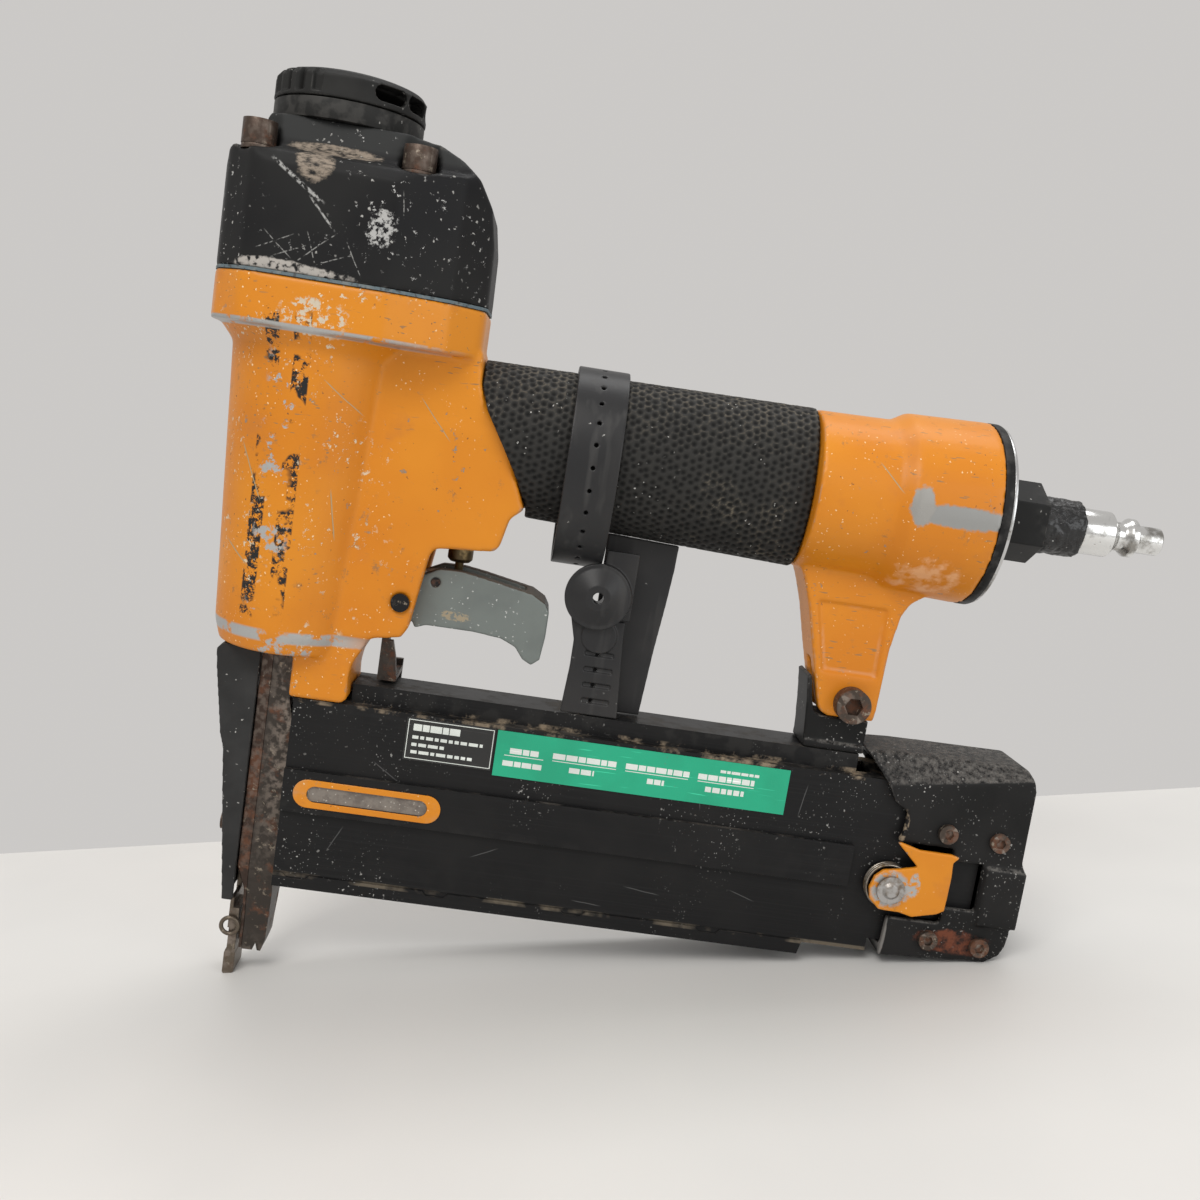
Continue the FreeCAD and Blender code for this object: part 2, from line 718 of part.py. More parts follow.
# ---------------------------------------------------------------- air inlet
def make_inlet():
    rear = D.bell_rear
    face = rear + D.end_cap_thickness
    axis = D.handle_axis
    disc = turned("end_disc", [
        (0, rear - 9), (D.bell_bore_radius - 2.0, rear - 9), (D.bell_bore_radius - 2.0, rear - 6),
        (D.bell_bore_radius - D.seat_gap, rear - 6), (D.bell_bore_radius - D.seat_gap, rear),
        (D.bell_radius, rear), (D.bell_radius, face), (D.bell_radius - 3, face),
        (D.bell_radius - 3, face + D.rim_thickness), (0, face + D.rim_thickness)],
        (0, 0, axis), "X")
    corner = D.hex_flats / math.sqrt(3)
    nut = hexagon("end_hex", corner, D.hex_rear - face, (face, 0, axis), "+X")
    bore = cylinder("end_bore", 5.5, 40, (rear - 12, 0, axis), "+X")
    node("end_cap", cut("end_cap_body", fuse("end_cap_solid", disc, nut), bore))
    node("end_cap_rim", tube("rim_body", D.bell_radius - 0.5, D.bell_radius - 2.8,
                             D.rim_thickness, (face + 0.05, 0, axis), "+X"))
    node("end_cap_ring", torus("end_ring_body", D.bell_bore_radius - 1.0, 0.9,
                               (rear - 7.6, 0, axis), "+X"))
    node("inlet_nipple", tube("nipple_body", D.nipple_radius, 4.4,
                              D.nipple_rear - D.hex_rear, (D.hex_rear, 0, axis), "+X"))
    plug = turned("plug_solid", [
        (2.4, D.nipple_rear), (D.plug_collar_radius - 0.6, D.nipple_rear),
        (D.plug_collar_radius, D.nipple_rear + 0.6),
        (D.plug_collar_radius, D.plug_collar_rear - 0.6),
        (D.plug_collar_radius - 0.6, D.plug_collar_rear),
        (D.plug_neck_radius + 0.9, D.plug_collar_rear + 0.7),
        (D.plug_neck_radius, D.plug_collar_rear + 1.6),
        (D.plug_neck_radius, D.plug_ridge_rear - 4.2), (D.plug_ridge_radius, D.plug_ridge_rear - 2.6),
        (D.plug_ridge_radius, D.plug_ridge_rear - 0.8), (D.plug_nose_radius, D.plug_ridge_rear),
        (D.plug_nose_radius, D.plug_rear - 0.5), (D.plug_nose_radius - 0.6, D.plug_rear),
        (2.4, D.plug_rear)], (0, 0, axis), "X")
    node("air_plug", plug)


# ---------------------------------------------------------------- trigger group
def make_trigger_group():
    x, z = D.pivot_x, D.pivot_z
    half, channel = D.trigger_half_width, D.trigger_channel
    blade = prism("trigger_blade", "XZ", [
        (34.2, 110.2), (35.1, 108.4), (38.2, 109.6), (51.1, 109.6), (59.0, 108.8), (63.2, 107.0),
        (65.6, 103.9), (68.2, 102.6), (70.4, 104.4), (71.1, 111.0), (71.1, 118.0), (69.6, 120.4),
        (66.0, 122.4), (51.8, 125.0), (45.9, 125.8), (39.8, 125.6), (35.4, 123.4)],
        -half, half)
    boss = cylinder("trigger_boss", 4.7, half * 2, (x, half, z), "-Y")
    arm = prism("trigger_arm", "XZ", [(30, 111.4), (36, 109.6), (36, 122.8), (30, 120.4)],
                -half, half)
    solid = fuse("trigger_solid", blade, boss, arm)
    tools = [
        box("channel_rear", (33, -channel, 112.5), (64, channel, 132)),
        box("channel_front", (20, -channel, 100), (35.5, channel, 132)),
        cylinder("trigger_pivot_hole", D.pivot_radius + D.running_gap, 30, (x, 15, z), "-Y"),
        cylinder("rocker_pin_hole", D.rocker_pin_radius, 30, (D.rocker_x, 15, D.rocker_z), "-Y"),
    ]
    node("trigger", cut("trigger_body", solid, *tools))

    pin_end = D.web_half_width + 0.9
    pin = cylinder("pivot_pin_shank", D.pivot_radius, pin_end * 2 - 1, (x, pin_end, z), "-Y")
    head = cylinder("pivot_pin_head", 2.5, 0.9, (x, -D.web_half_width - 0.05, z), "-Y")
    node("trigger_pivot_pin", fuse("pivot_pin_body", pin, head))

    lever = prism("rocker_plate", "XZ", [
        (25.8, 119.7), (37.0, 118.8), (50.0, 119.0), (60.0, 116.6), (60.4, 118.4), (50.0, 122.2),
        (44.5, 124.2), (39.2, 124.4), (26.0, 121.8)], -D.rocker_half_width, D.rocker_half_width)
    hole = cylinder("rocker_hole", D.rocker_pin_radius + D.running_gap, 20,
                    (D.rocker_x, 10, D.rocker_z), "-Y")
    node("trigger_rocker", cut("rocker_body", lever, hole))
    node("rocker_pin", cylinder("rocker_pin_body", D.rocker_pin_radius - 0.02, half * 2 - 0.4,
                                (D.rocker_x, half - 0.2, D.rocker_z), "-Y"))

    low, seat = D.valve_low, D.trigger_slot_top
    node("trigger_valve_body", turned("valve_body_turn", [
        (D.stem_radius + D.running_gap, low), (2.6, low), (D.valve_cap_radius, low + 0.9),
        (D.valve_cap_radius, seat + 0.2), (D.valve_body_radius, seat + 0.2),
        (D.valve_body_radius, D.valve_top), (3.2, D.valve_top), (3.2, low + 6),
        (D.stem_radius + D.running_gap, low + 6)], (D.valve_x, 0, 0)))
    node("valve_stem", turned("valve_stem_body", [
        (0, D.stem_low), (D.stem_radius, D.stem_low), (D.stem_radius, low + 7),
        (2.6, low + 7.2), (2.6, low + 9), (D.stem_radius, low + 9.2), (D.stem_radius, low + 16),
        (0, low + 16)], (D.valve_x, 0, 0)))
    node("valve_spring", spring("valve_spring_body", 2.1, 0.3, 1.5, 8.0,
                                (SIZES["valve_x"], 0, SIZES["valve_low"] + 9.8)))


# ---------------------------------------------------------------- nose
def nose_screw_places():
    return [(side * 4.9, z) for z in (92.2, 60.0) for side in (-1, 1)]


def nose_tapers(tag):
    """Wedges that narrow the tip of the nose on both sides."""
    wide = D.nose_half_width + 1
    tip = D.nose_tip_half_width
    return [prism("%s_taper%d" % (tag, i), "YZ",
                  [(side * wide, 40), (side * wide, 5), (side * tip, 5), (side * tip, 16)], -20, 20)
            for i, side in enumerate((-1, 1))]


def make_nose():
    split = -(D.blade_long + 0.1)
    half = D.nose_half_width
    rear = prism("nose_rear_body", "XZ", [
        (split, D.nose_tip), (1.3, D.nose_tip), (2.0, 10.6), (2.7, D.nose_tip), (3.7, D.nose_tip),
        (4.6, 11.5), (5.3, 26), (5.3, 78), (D.nose_rear, 84), (D.nose_rear, D.nose_top),
        (split, D.nose_top)], -half, half)
    channel = box("driver_channel", (split - 1, -D.blade_thin - 0.1, 0),
                  (D.blade_long + 0.1, D.blade_thin + 0.1, 120))
    feed = box("brad_inlet", (0, -D.brad_slot, 36.5), (10, D.brad_slot, D.magazine_top + 1.5))
    holes = [cylinder("nose_hole%d" % i, D.nose_screw_radius + D.running_gap, 60, (-30, y, z), "+X")
             for i, (y, z) in enumerate(nose_screw_places())]
    node("nosepiece", cut("nosepiece_body", rear, channel, feed, *nose_tapers("rear"), *holes))

    front = split - D.guide_thickness
    guide = prism("guide_plate", "XZ", [
        (split - 0.05, D.nose_tip + 0.2), (split - 0.9, D.nose_tip + 0.2), (split - 0.9, 27),
        (front, 34), (front, D.nose_top), (split - 0.05, D.nose_top)], -half, half)
    seat = front + D.nose_screw_head + 0.2
    guide_holes = [cylinder("guide_hole_low", 1.6, 20, (-15, 0, 44.0), "+X")]
    for i, (y, z) in enumerate(nose_screw_places()):
        guide_holes.append(cylinder("guide_hole%d" % i, D.nose_screw_radius + D.running_gap, 20,
                                    (-15, y, z), "+X"))
        guide_holes.append(cylinder("guide_seat%d" % i, 2.6, 20, (seat, y, z), "-X"))
    node("driver_guide", cut("guide_body", guide, *nose_tapers("guide"), *guide_holes))

    wall = D.cover_wall
    outline = [(-D.cover_front + 1.6, D.nose_top), (-D.cover_front, 95.4), (-16.4, 89.9),
               (-13.6, 72.0), (-12.4, 68.0), (-11.2, 55.5), (-9.8, 41.9), (-8.6, 30.0),
               (-8.0, D.cover_low), (front - 0.1, D.cover_low), (front - 0.1, D.nose_top)]
    shell = prism("cover_shell", "XZ", outline, -D.cover_half_width, D.cover_half_width)
    inner = [(-D.cover_front + 3.3, 110), (-D.cover_front + 1.9, 94.6), (-14.8, 89.9),
             (-12.0, 72.0), (-10.8, 68.0), (-9.6, 55.5), (-8.2, 41.9), (-7.05, 30.0),
             (-6.6, 10), (5, 10), (5, 110)]
    hollow = prism("cover_hollow", "XZ", inner, wall - D.cover_half_width,
                   D.cover_half_width - wall)
    window = box("cover_window", (-8.2, 0, 81.5), (5, 20, 110))
    screw_hole = cylinder("cover_hole", 1.7, 12, (-15, 0, 44.0), "+X")
    node("nose_cover", cut("cover_body", shell, hollow, window, screw_hole))
    node("nose_cover_screw", socket_screw("cover_screw", 2.6, 1.8, 1.55, 5.2, (-10.5, 0, 44.0), "-X"))
    screws = [socket_screw("nose_screw%d" % i, 2.4, D.nose_screw_head, D.nose_screw_radius, 6.2,
                           (seat, y, z), "-X") for i, (y, z) in enumerate(nose_screw_places())]
    node("nose_screws", group("nose_screw_set", screws))


def make_work_contact():
    front = -D.contact_front
    rear = front + D.contact_thickness
    half = D.contact_half_width
    foot = prism("contact_foot", "XZ", [
        (front + 0.3, 0), (front + 2.4, 0), (front + 3.1, 0.9), (front + 3.1, 6.4),
        (front + 2.7, 7.4), (front + 0.2, 7.4), (front - 0.1, 6.4), (front - 0.1, 0.6)], -half, half)
    inner = D.nose_half_width - 0.6
    back = rear - 0.45
    prong = box("contact_prong", (front + 0.5, -half, 6.5), (front + 2.9, half, 20.2))
    neck = box("contact_neck", (front + 0.1, -half, 14), (back, inner, 23.2))
    strip = box("contact_strip", (front - 0.4, 3.6, 21), (back, inner, 89))
    tab = box("contact_tab", (front - 5.2, 3.6, 72.0), (back, inner, 73.6))
    slot = box("contact_slot", (front - 5, -2.0, 9.4), (0, 2.0, 18.0))
    node("work_contact", cut("contact_body", fuse("contact_solid", foot, prong, neck, strip, tab), slot))

    wire = 0.6
    node("contact_wire_loop", torus("contact_loop_ring", 2.4, wire,
                                    (front + 0.8, -half - wire - 0.1, 15.0), "+Y"))
    low, high = 85.6, 88.8
    side = 13 + D.slide_gap
    bar = box("link_bar", (front - 0.4, side, low), (31.5, side + 1.6, high))
    inlet = box("link_inlet", (front - 0.4, D.nose_half_width - 0.6, 84.2),
                (back, side + 1.6, high))
    riser = box("link_riser", (26.2, side, high - 1), (31.5, side + 1.6, 94.8))
    bridge = box("link_bridge", (26.2, -2.4, D.rail_top + 0.8), (31.5, side + 1.6, D.rail_top + 2.4))
    rod = box("link_rod", (26.2, -2.4, D.rail_top + 0.8), (28.2, 2.4, 111.6))
    plate = prism("link_plate", "XZ", [(26.2, 92), (31.5, 92), (30.6, 98.5), (29.4, 103), (26.2, 103)],
                  -2.4, -0.8)
    node("safety_link", fuse("link_body", bar, inlet, riser, bridge, rod, plate))
    node("safety_spring", spring("safety_spring_body", 1.4, 0.3, 2.4, 22.6,
                                 (-9.5, 5.5, 74.1)))


# ---------------------------------------------------------------- magazine
def make_magazine():
    front, rear = D.magazine_front, D.magazine_rear
    half, wall = D.magazine_half_width, D.magazine_wall
    low, top = D.magazine_low, D.magazine_top
    near_wall = box("near_wall", (front, -half, low), (rear, wall - half, top))
    top_plate = box("top_plate", (front, -half, top - wall), (rear, half, top))
    low_plate = box("low_plate", (front, -half, low), (rear, half, low + wall))
    lip_high = box("lip_high", (front, half - wall, top - 6), (rear, half, top))
    lip_low = box("lip_low", (front, half - wall, low), (rear, half, low + 5.5))
    rail = box("top_rail", (D.rail_front, -D.rail_half_width, top - wall),
               (rear - D.rail_set_back, D.rail_half_width, D.rail_top))
    band = box("near_band", (front, -half - D.band_proud, D.band_low),
               (rear - D.band_set_back, 0.5 - half, D.band_high))
    tongue = box("tongue", (rear - 5, -half, 46.5), (rear + D.tongue_length, wall - half, 66))
    skirts = [box("skirt%d" % i, (rear - 5, -half, z0), (rear + 8, wall - half, z1))
              for i, (z0, z1) in enumerate(((38.4, 47.0), (65.0, 84.0)))]
    solid = fuse("magazine_solid", near_wall, top_plate, low_plate, lip_high, lip_low, rail,
                 band, tongue, *skirts)
    slot_start = D.window_front + (D.window_length - D.window_slot_length) / 2
    tools = [
        box("rail_hollow", (D.rail_front + wall, wall - D.rail_half_width, top - wall),
            (rear - D.rail_set_back / 2, D.rail_half_width - wall, D.rail_top - wall)),
        box("window_slot", (slot_start, -20, D.window_z - D.window_slot_height / 2),
            (slot_start + D.window_slot_length, 0, D.window_z + D.window_slot_height / 2)),
        prism("foot_cut", "XZ", [(rear - 22, 20), (rear - 18.5, low + 3.6), (rear + 5, low + 3.6),
                                 (rear + 5, 20)],
              -20, 20),
        cylinder("rivet_hole", D.latch_rivet_radius, 10, (latch_x(), -5, D.latch_z), "-Y"),
        box("seam_groove", (front - 1, -half - 1, low + 4.0), (rear - 19, 0.45 - half, low + 4.5)),
    ]
    for index in range(4):
        start = 8.0 + 39.0 * index
        tools.append(prism("seam_notch%d" % index, "XZ", [
            (start, low + 4.2), (start + 1.6, low + 2.7), (start + 6.4, low + 2.7),
            (start + 8, low + 4.2)], -half - 1, -half + 0.5))
    node("fixed_magazine", cut("magazine_body", solid, *tools))

    face = -(half + D.band_proud)
    ring = stadium("window_ring", D.window_front, D.window_length, D.window_height, face - 0.4, face)
    hole = stadium("window_hole", slot_start, D.window_slot_length, D.window_slot_height,
                   face - 2, face + 2)
    node("window_frame", cut("window_frame_body", ring, hole))
    node("window_insert", box("window_insert_body",
                              (slot_start + 0.1, face + 0.25, D.window_z - D.window_slot_height / 2 + 0.1),
                              (slot_start + D.window_slot_length - 0.1, wall - half - 0.1,
                               D.window_z + D.window_slot_height / 2 - 0.1)))


def stadium(name, start, length, height, low, high):
    """A slot-shaped plate standing on the magazine's near side."""
    radius = as_size(height) / 2
    z = D.window_z
    middle = box(name + "_middle", (start + radius, low, z - radius),
                 (start + length - radius, high, z + radius))
    ends = [cylinder(name + "_end%d" % i, radius, as_size(high) - low, (x, high, z), "-Y")
            for i, x in enumerate((start + radius, start + length - radius))]
    return fuse(name, middle, *ends)


def make_moving_magazine():
    front, rear = D.magazine_front + 0.3, D.magazine_rear
    outer = D.magazine_half_width - D.magazine_wall - D.slide_gap
    inner = outer - D.magazine_wall
    low = D.casting_low + D.casting_floor + D.seat_gap
    top = D.magazine_top - D.magazine_wall - D.slide_gap
    far = box("far_wall", (front, inner, low), (rear + D.casting_length - 8, outer, top))
    bead = box("far_bead", (front, inner, D.band_low), (rear - 8, outer + 1.6, D.band_high))
    slot, wall = D.brad_slot, D.brad_rail_wall
    floor = box("rail_floor", (front, -slot - wall, low), (rear - 6, inner + 0.5, low + 1.8))
    walls = [box("rail_wall%d" % i, (front, a, low), (rear - 6, b, D.brad_rail_top))
             for i, (a, b) in enumerate(((-slot - wall, -slot), (slot, slot + wall)))]
    inside = D.casting_wall - casting_half_width() + 0.1
    blocks = [box("end_block%d" % i, (rear + 11.5, inside, z0),
                  (rear + D.casting_length - 8, inner + 0.5, z1))
              for i, (z0, z1) in enumerate(((39.4, 45.2), (68.4, 78.0)))]
    solid = fuse("moving_solid", far, bead, floor, *walls, *blocks)
    holes = [cylinder("block_hole%d" % i, 1.5, 12, (x, -4, z), "-Y")
             for i, (x, z) in enumerate(casting_screw_places())]
    node("moving_magazine", cut("moving_body", solid, *holes))

    saddle_top = top - 0.4
    saddle = box("pusher_saddle", (8.5, -5.4, D.brad_rail_top + 0.4), (38, 5.4, saddle_top))
    legs = []
    for i, side in enumerate((-1, 1)):
        a = (slot + wall + 0.4) * side
        b = (slot + wall + 2.0) * side
        y0, y1 = (a, b) if side > 0 else (b, a)
        legs.append(box("pusher_leg%d" % i, (8.5, y0, 62), (38, y1, saddle_top)))
    blade = box("pusher_blade", (7.0, 0.15 - slot, low + 2.4), (12.5, slot - 0.15, saddle_top))
    node("brad_pusher", fuse("pusher_body", saddle, blade, *legs))
    node("feed_spring", tube("feed_spring_body", 5.6, 2.6, 5.2, (44.0, -slot - wall - 0.5, 73.0), "-Y"))


def casting_half_width():
    return D.magazine_half_width + D.casting_proud


def casting_screw_places():
    return [(D.magazine_rear + x, z) for x, z in ((16.0, 73.2), (31.2, 72.6), (16.2, 41.6), (31.3, 41.3))]


def latch_x():
    return D.magazine_rear + D.latch_set_back


def casting_bar(name, front, rear, front_half, rear_half):
    """A bar along X between two symmetric cross-sections, so its shoulder can rise to the rear."""
    wires = []
    for x, corners in ((front, front_half), (rear, rear_half)):
        points = [(as_size(y).value, as_size(z).value) for y, z in corners]
        points += [(-y, z) for y, z in reversed(points)]
        points = [Vector(as_size(x).value, y, z) for y, z in points]
        wires.append(Part.makePolygon(points + points[:1]))
    return own_shape(name, Part.makeLoft(wires, True, True))


def make_end_casting():
    half, wall = casting_half_width(), D.casting_wall
    start, low, shoulder, top = D.magazine_rear, D.casting_low, D.casting_shoulder, D.casting_top
    rear = start + D.casting_length
    floor = low + D.casting_floor
    side = prism("casting_side", "XZ", [
        (start - 9.2, 92.6), (start - 3.0, 85.0), (start - 0.2, 80.2), (start + 4.0, 77.6),
        (start + 3.7, 71.7), (start + 2.6, 68.6), (start + 3.6, 46.8), (start + 3.0, low),
        (rear - 7, low + 1.8), (rear - 3.2, low + 4.2), (rear - 1.6, low + 7.8), (rear - 1.4, 47.4),
        (rear, 49.0), (rear, 63.6), (rear - 1.6, 67.0), (rear - 2.0, 88.6), (rear - 3.4, top - 0.6),
        (rear - 5, top), (start + 0.9, top - 0.4)], -half, half)
    outside = casting_bar("casting_outside", start - 15, rear + 4, [
        (half, low - 1), (half, shoulder - 2.4), (half - 5.5, top + 0.1)], [
        (half, low - 1), (half, shoulder + 8.0), (half - 5.5, top + 0.3)])
    hollow_side = prism("casting_inside", "XZ", [
        (start - 25, 89.4), (start + 1, 90.2), (rear - 9, 90.6), (rear - 4.6, 87.5), (rear - 4.2, 66),
        (rear - 4.2, 44), (rear - 5.6, floor + 0.8), (rear - 7.8, floor), (start - 25, floor)],
        wall - half, half - wall)
    inner = [(half - wall, 20), (half - wall, shoulder + 1.2), (half - 6.9, top - 2.4)]
    hollow = common("casting_hollow", hollow_side,
                    casting_bar("casting_inner_bar", start - 35, rear + 4, inner, inner))
    latch_notch = prism("latch_notch", "XZ", [
        (start - 15, 46.6), (start + 19, 46.6), (start + 19, 51.4), (start + 28.4, 51.4),
        (start + 28.4, 65.4), (start + 19, 65.4), (start + 19, 68.8), (start - 15, 68.8)],
        -half - 2, wall - half + 1)
    tools = [hollow, latch_notch]
    boss = box("casting_boss", (start + 29.2, -half - 1.2, 47.8), (rear - 0.3, 0.5 - half, 64.8))
    for i, (x, z) in enumerate(casting_screw_places()):
        tools.append(cylinder("casting_hole%d" % i, 1.6, 6, (x, 4 - half, z), "-Y"))
    solid = fuse("casting_solid", common("casting_block", side, outside), boss)
    node("magazine_end_casting", cut("casting_body", solid, *tools))
    screws = [socket_screw("casting_screw%d" % i, 2.7, 1.6, 1.4, 8.5, (x, -half - 0.05, z), "-Y")
              for i, (x, z) in enumerate(casting_screw_places())]
    node("end_casting_screws", group("casting_screw_set", screws))


def make_latch():
    face = -(casting_half_width() + 1.0)
    back, front = face, face - D.latch_thickness
    x = latch_x()
    plate = prism("latch_plate", "XZ", [
        (x - 0.2, 69.3), (x + 0.9, 69.4), (x + 6.6, 67.9), (x + 15.8, 67.8), (x + 18.0, 67.2),
        (x + 16.5, 65.5), (x + 16.8, 61.0), (x + 16.6, 51.3), (x + 14.5, 50.0), (x + 7.6, 48.3),
        (x + 3.7, 49.2), (x - 2.1, 49.3), (x - 5.2, 52.0), (x - 5.9, 55.4), (x - 4.9, 58.8),
        (x - 2.7, 60.9), (x + 1.3, 61.6), (x + 6.7, 62.9)],
        front, back)
    hole = cylinder("latch_hole", D.latch_rivet_radius + D.running_gap, 10,
                    (x, -10, D.latch_z), "-Y")
    node("latch_lever", cut("latch_body", plate, hole))
    panel = -(D.magazine_half_width - D.magazine_wall)
    shank = cylinder("rivet_shank", D.latch_rivet_radius - 0.02, panel - front + 0.5,
                     (x, panel, D.latch_z), "-Y")
    head = cylinder("rivet_head", 4.0, 0.9, (x, front - D.seat_gap, D.latch_z), "-Y")
    dome = cone("rivet_dome", 2.5, 1.7, 0.7, (x, front - D.seat_gap - 0.9, D.latch_z), "-Y")
    node("latch_rivet", fuse("rivet_body", shank, head, dome))
    node("latch_spring", spring("latch_spring_body", 6.2, 0.45, 1.0, 2.6,
                                (x, -D.magazine_half_width - 0.7, D.latch_z), "-Y"))


# ---------------------------------------------------------------- bracket, strap, labels
def make_bracket():
    plate = D.bracket_plate
    top = D.rail_top + 0.1
    foot = box("bracket_foot", (147.6, -D.rail_half_width, top), (D.bracket_rear, D.rail_half_width, top + 2))
    block = box("bracket_block", (150.4, -6.5, top), (D.bracket_rear, 6.5, D.leg_foot - 0.4))
    tongue = box("bracket_tongue", (151.5, -plate, top), (D.bracket_rear, plate, D.leg_foot + 13.5))
    flange = prism("bracket_flange", "XZ", [
        (145.7, 111.0), (146.9, 111.2), (148.3, 103.6), (149.3, 101.0), (151.6, 99.6), (151.6, top),
        (147.6, top), (147.4, 95.0), (146.6, 104.0)], -6.9, 6.9)
    hole = cylinder("bracket_hole", 2.6, 20, (D.bracket_screw_x, 10, D.bracket_screw_z), "-Y")
    node("rear_bracket", cut("bracket_body", fuse("bracket_solid", foot, block, tongue, flange), hole))
    half = D.leg_half_width
    screw = socket_screw("bracket_screw_part", 4.9, 4.6, 2.5, half * 2 + 5,
                         (D.bracket_screw_x, -half - 0.05, D.bracket_screw_z), "-Y")
    nut_solid = hexagon("bracket_nut_solid", 4.7, 4, (D.bracket_screw_x, half + 4.1,
                                                    D.bracket_screw_z), "-Y")
    nut = cut("bracket_nut", nut_solid,
              cylinder("bracket_nut_bore", 2.52, 8, (D.bracket_screw_x, half + 6, D.bracket_screw_z), "-Y"))
    node("bracket_screw", screw)
    node("bracket_nut", nut)


def make_strap():
    start, end = D.strap_x - D.strap_width / 2, D.strap_x + D.strap_width / 2
    top = grip_section(D.strap_x, 0)
    high = top[1] + top[3] + D.seat_gap
    low = top[1] - top[3] - D.strap_drop
    middle = (high + low) / 2
    half_height = (high - low) / 2
    thick = D.strap_thickness
    half_width = D.grip_half_width + 1.4
    outer = oval_bar("loop_outer", [(start, middle, half_width + thick, half_height + thick),
                                    (end, middle, half_width + thick, half_height + thick)])
    inner = oval_bar("loop_inner", [(start - 1, middle, half_width, half_height),
                                    (end + 1, middle, half_width, half_height)])
    node("strap_loop", cut("loop_body", outer, inner))

    bottom = low - thick
    disc_z, disc_x = 124.5, 83.7
    disc = cylinder("buckle_disc", 9.2, 1.6, (disc_x, -8.0, disc_z), "-Y")
    dish = cone("buckle_cone", 8.4, 3.4, 2.4, (disc_x, -9.5, disc_z), "-Y")
    plate = box("buckle_plate", (77.6, -8.0, 118.6), (93.5, -6.2, bottom - 0.3))
    post = box("buckle_post", (end + 0.8, -8.0, 118.6), (93.5, -6.2, bottom + 6.2))
    hole = cylinder("buckle_hole", 1.5, 20, (disc_x, 0, disc_z), "-Y")
    node("strap_buckle", cut("buckle_body", fuse("buckle_solid", disc, dish, plate, post), hole))

    low = D.rail_top + 0.3
    tail = prism("tail_plate", "XZ", [
        (78.2, low), (94.2, low), (92.6, 112), (92.4, 118.2), (77.2, 118.2), (79.0, 111.4),
        (79.0, 104)], -7.4, -5.6)
    tools = [cylinder("tail_hole%d" % i, 0.6, 4, (86.2, -4, 94.9 + 4.45 * i), "-Y") for i in range(4)]
    slots = [box("tail_slot%d" % i, (82.6 + 0.3 * (3 - i), -8, 94.2 + 4.45 * i),
                 (91.4 - 0.2 * i, -6.8, 95.6 + 4.45 * i)) for i in range(4)]
    button = cylinder("tail_button", 4.85, 0.55, (85.8, -7.35, 113.4), "-Y")
    node("strap_tail", fuse("tail_body", cut("tail_cut", tail, *(tools + slots)), button))
    under = top[1] - top[3]
    node("strap_back_band", prism("band_body", "XZ", [
        (84.5, low), (101.0, low), (102.4, 110), (103.8, 124), (104.6, 134), (104.8, under - 1.3),
        (84.5, under - 0.55)], 1.0, 2.8))


def make_labels():
    face = -D.magazine_half_width
    thick = D.label_thickness
    node("maker_label", box("maker_label_body", (36.9, face - thick, 72.3), (61.4, face, 84.4)))
    node("data_label", box("data_label_body", (62.0, face - thick, 71.2), (144.6, face, 84.2)))


# ---------------------------------------------------------------- whole tool
def check_everything():
    DOC.recompute()
    for item in DOC.Objects:
        bad = [state for state in item.State if state in ("Invalid", "Error")]
        if bad:
            raise RuntimeError("%s is %s" % (item.Name, bad))
    for item in NODES:
        if item.Shape.isNull() or not item.Shape.isValid() or not item.Shape.Solids:
            raise RuntimeError("%s has no valid solid" % item.Label)


def write_parts():
    os.makedirs("parts", exist_ok=True)
    for item in NODES:
        item.Shape.exportStep("parts/%s.step" % item.Label)


def main():
    make_housing()
    make_grip()
    make_gasket()
    make_cap()
    make_cap_screws()
    make_exhaust()
    make_cylinder_group()
    make_inlet()
    make_trigger_group()
    make_nose()
    make_work_contact()
    make_magazine()
    make_moving_magazine()
    make_end_casting()
    make_latch()
    make_bracket()
    make_strap()
    make_labels()
    check_everything()
    write_parts()
    print("wrote %d sub-parts" % len(NODES))


main()
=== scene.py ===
"""Looks of the brad nailer: finer meshes, worn materials, stage, light and camera, all in the CAD frame."""

import json
import math
import random

import bmesh
import bpy
import numpy as np
from mathutils import Matrix, Vector, kdtree, noise

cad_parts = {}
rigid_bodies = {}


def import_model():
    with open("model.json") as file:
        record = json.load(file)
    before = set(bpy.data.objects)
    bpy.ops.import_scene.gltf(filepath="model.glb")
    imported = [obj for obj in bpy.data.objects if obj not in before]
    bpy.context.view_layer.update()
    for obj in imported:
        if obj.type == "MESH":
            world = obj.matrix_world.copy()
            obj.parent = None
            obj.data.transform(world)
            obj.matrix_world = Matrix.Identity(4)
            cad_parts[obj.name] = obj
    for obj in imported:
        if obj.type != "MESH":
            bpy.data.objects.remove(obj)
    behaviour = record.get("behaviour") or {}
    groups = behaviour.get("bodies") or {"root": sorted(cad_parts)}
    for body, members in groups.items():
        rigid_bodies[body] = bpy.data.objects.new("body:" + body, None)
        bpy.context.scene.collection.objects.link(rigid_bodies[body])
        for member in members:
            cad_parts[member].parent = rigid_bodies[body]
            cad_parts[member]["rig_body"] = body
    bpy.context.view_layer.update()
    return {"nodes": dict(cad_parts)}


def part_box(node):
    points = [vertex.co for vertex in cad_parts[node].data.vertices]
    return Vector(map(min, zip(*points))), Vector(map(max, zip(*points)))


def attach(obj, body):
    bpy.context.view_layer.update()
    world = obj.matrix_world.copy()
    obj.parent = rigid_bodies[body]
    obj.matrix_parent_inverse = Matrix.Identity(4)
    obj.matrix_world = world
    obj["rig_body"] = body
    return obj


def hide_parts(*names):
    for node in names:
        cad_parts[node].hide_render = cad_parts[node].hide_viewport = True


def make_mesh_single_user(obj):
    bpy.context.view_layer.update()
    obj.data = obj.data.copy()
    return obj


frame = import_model()
nodes = frame["nodes"]
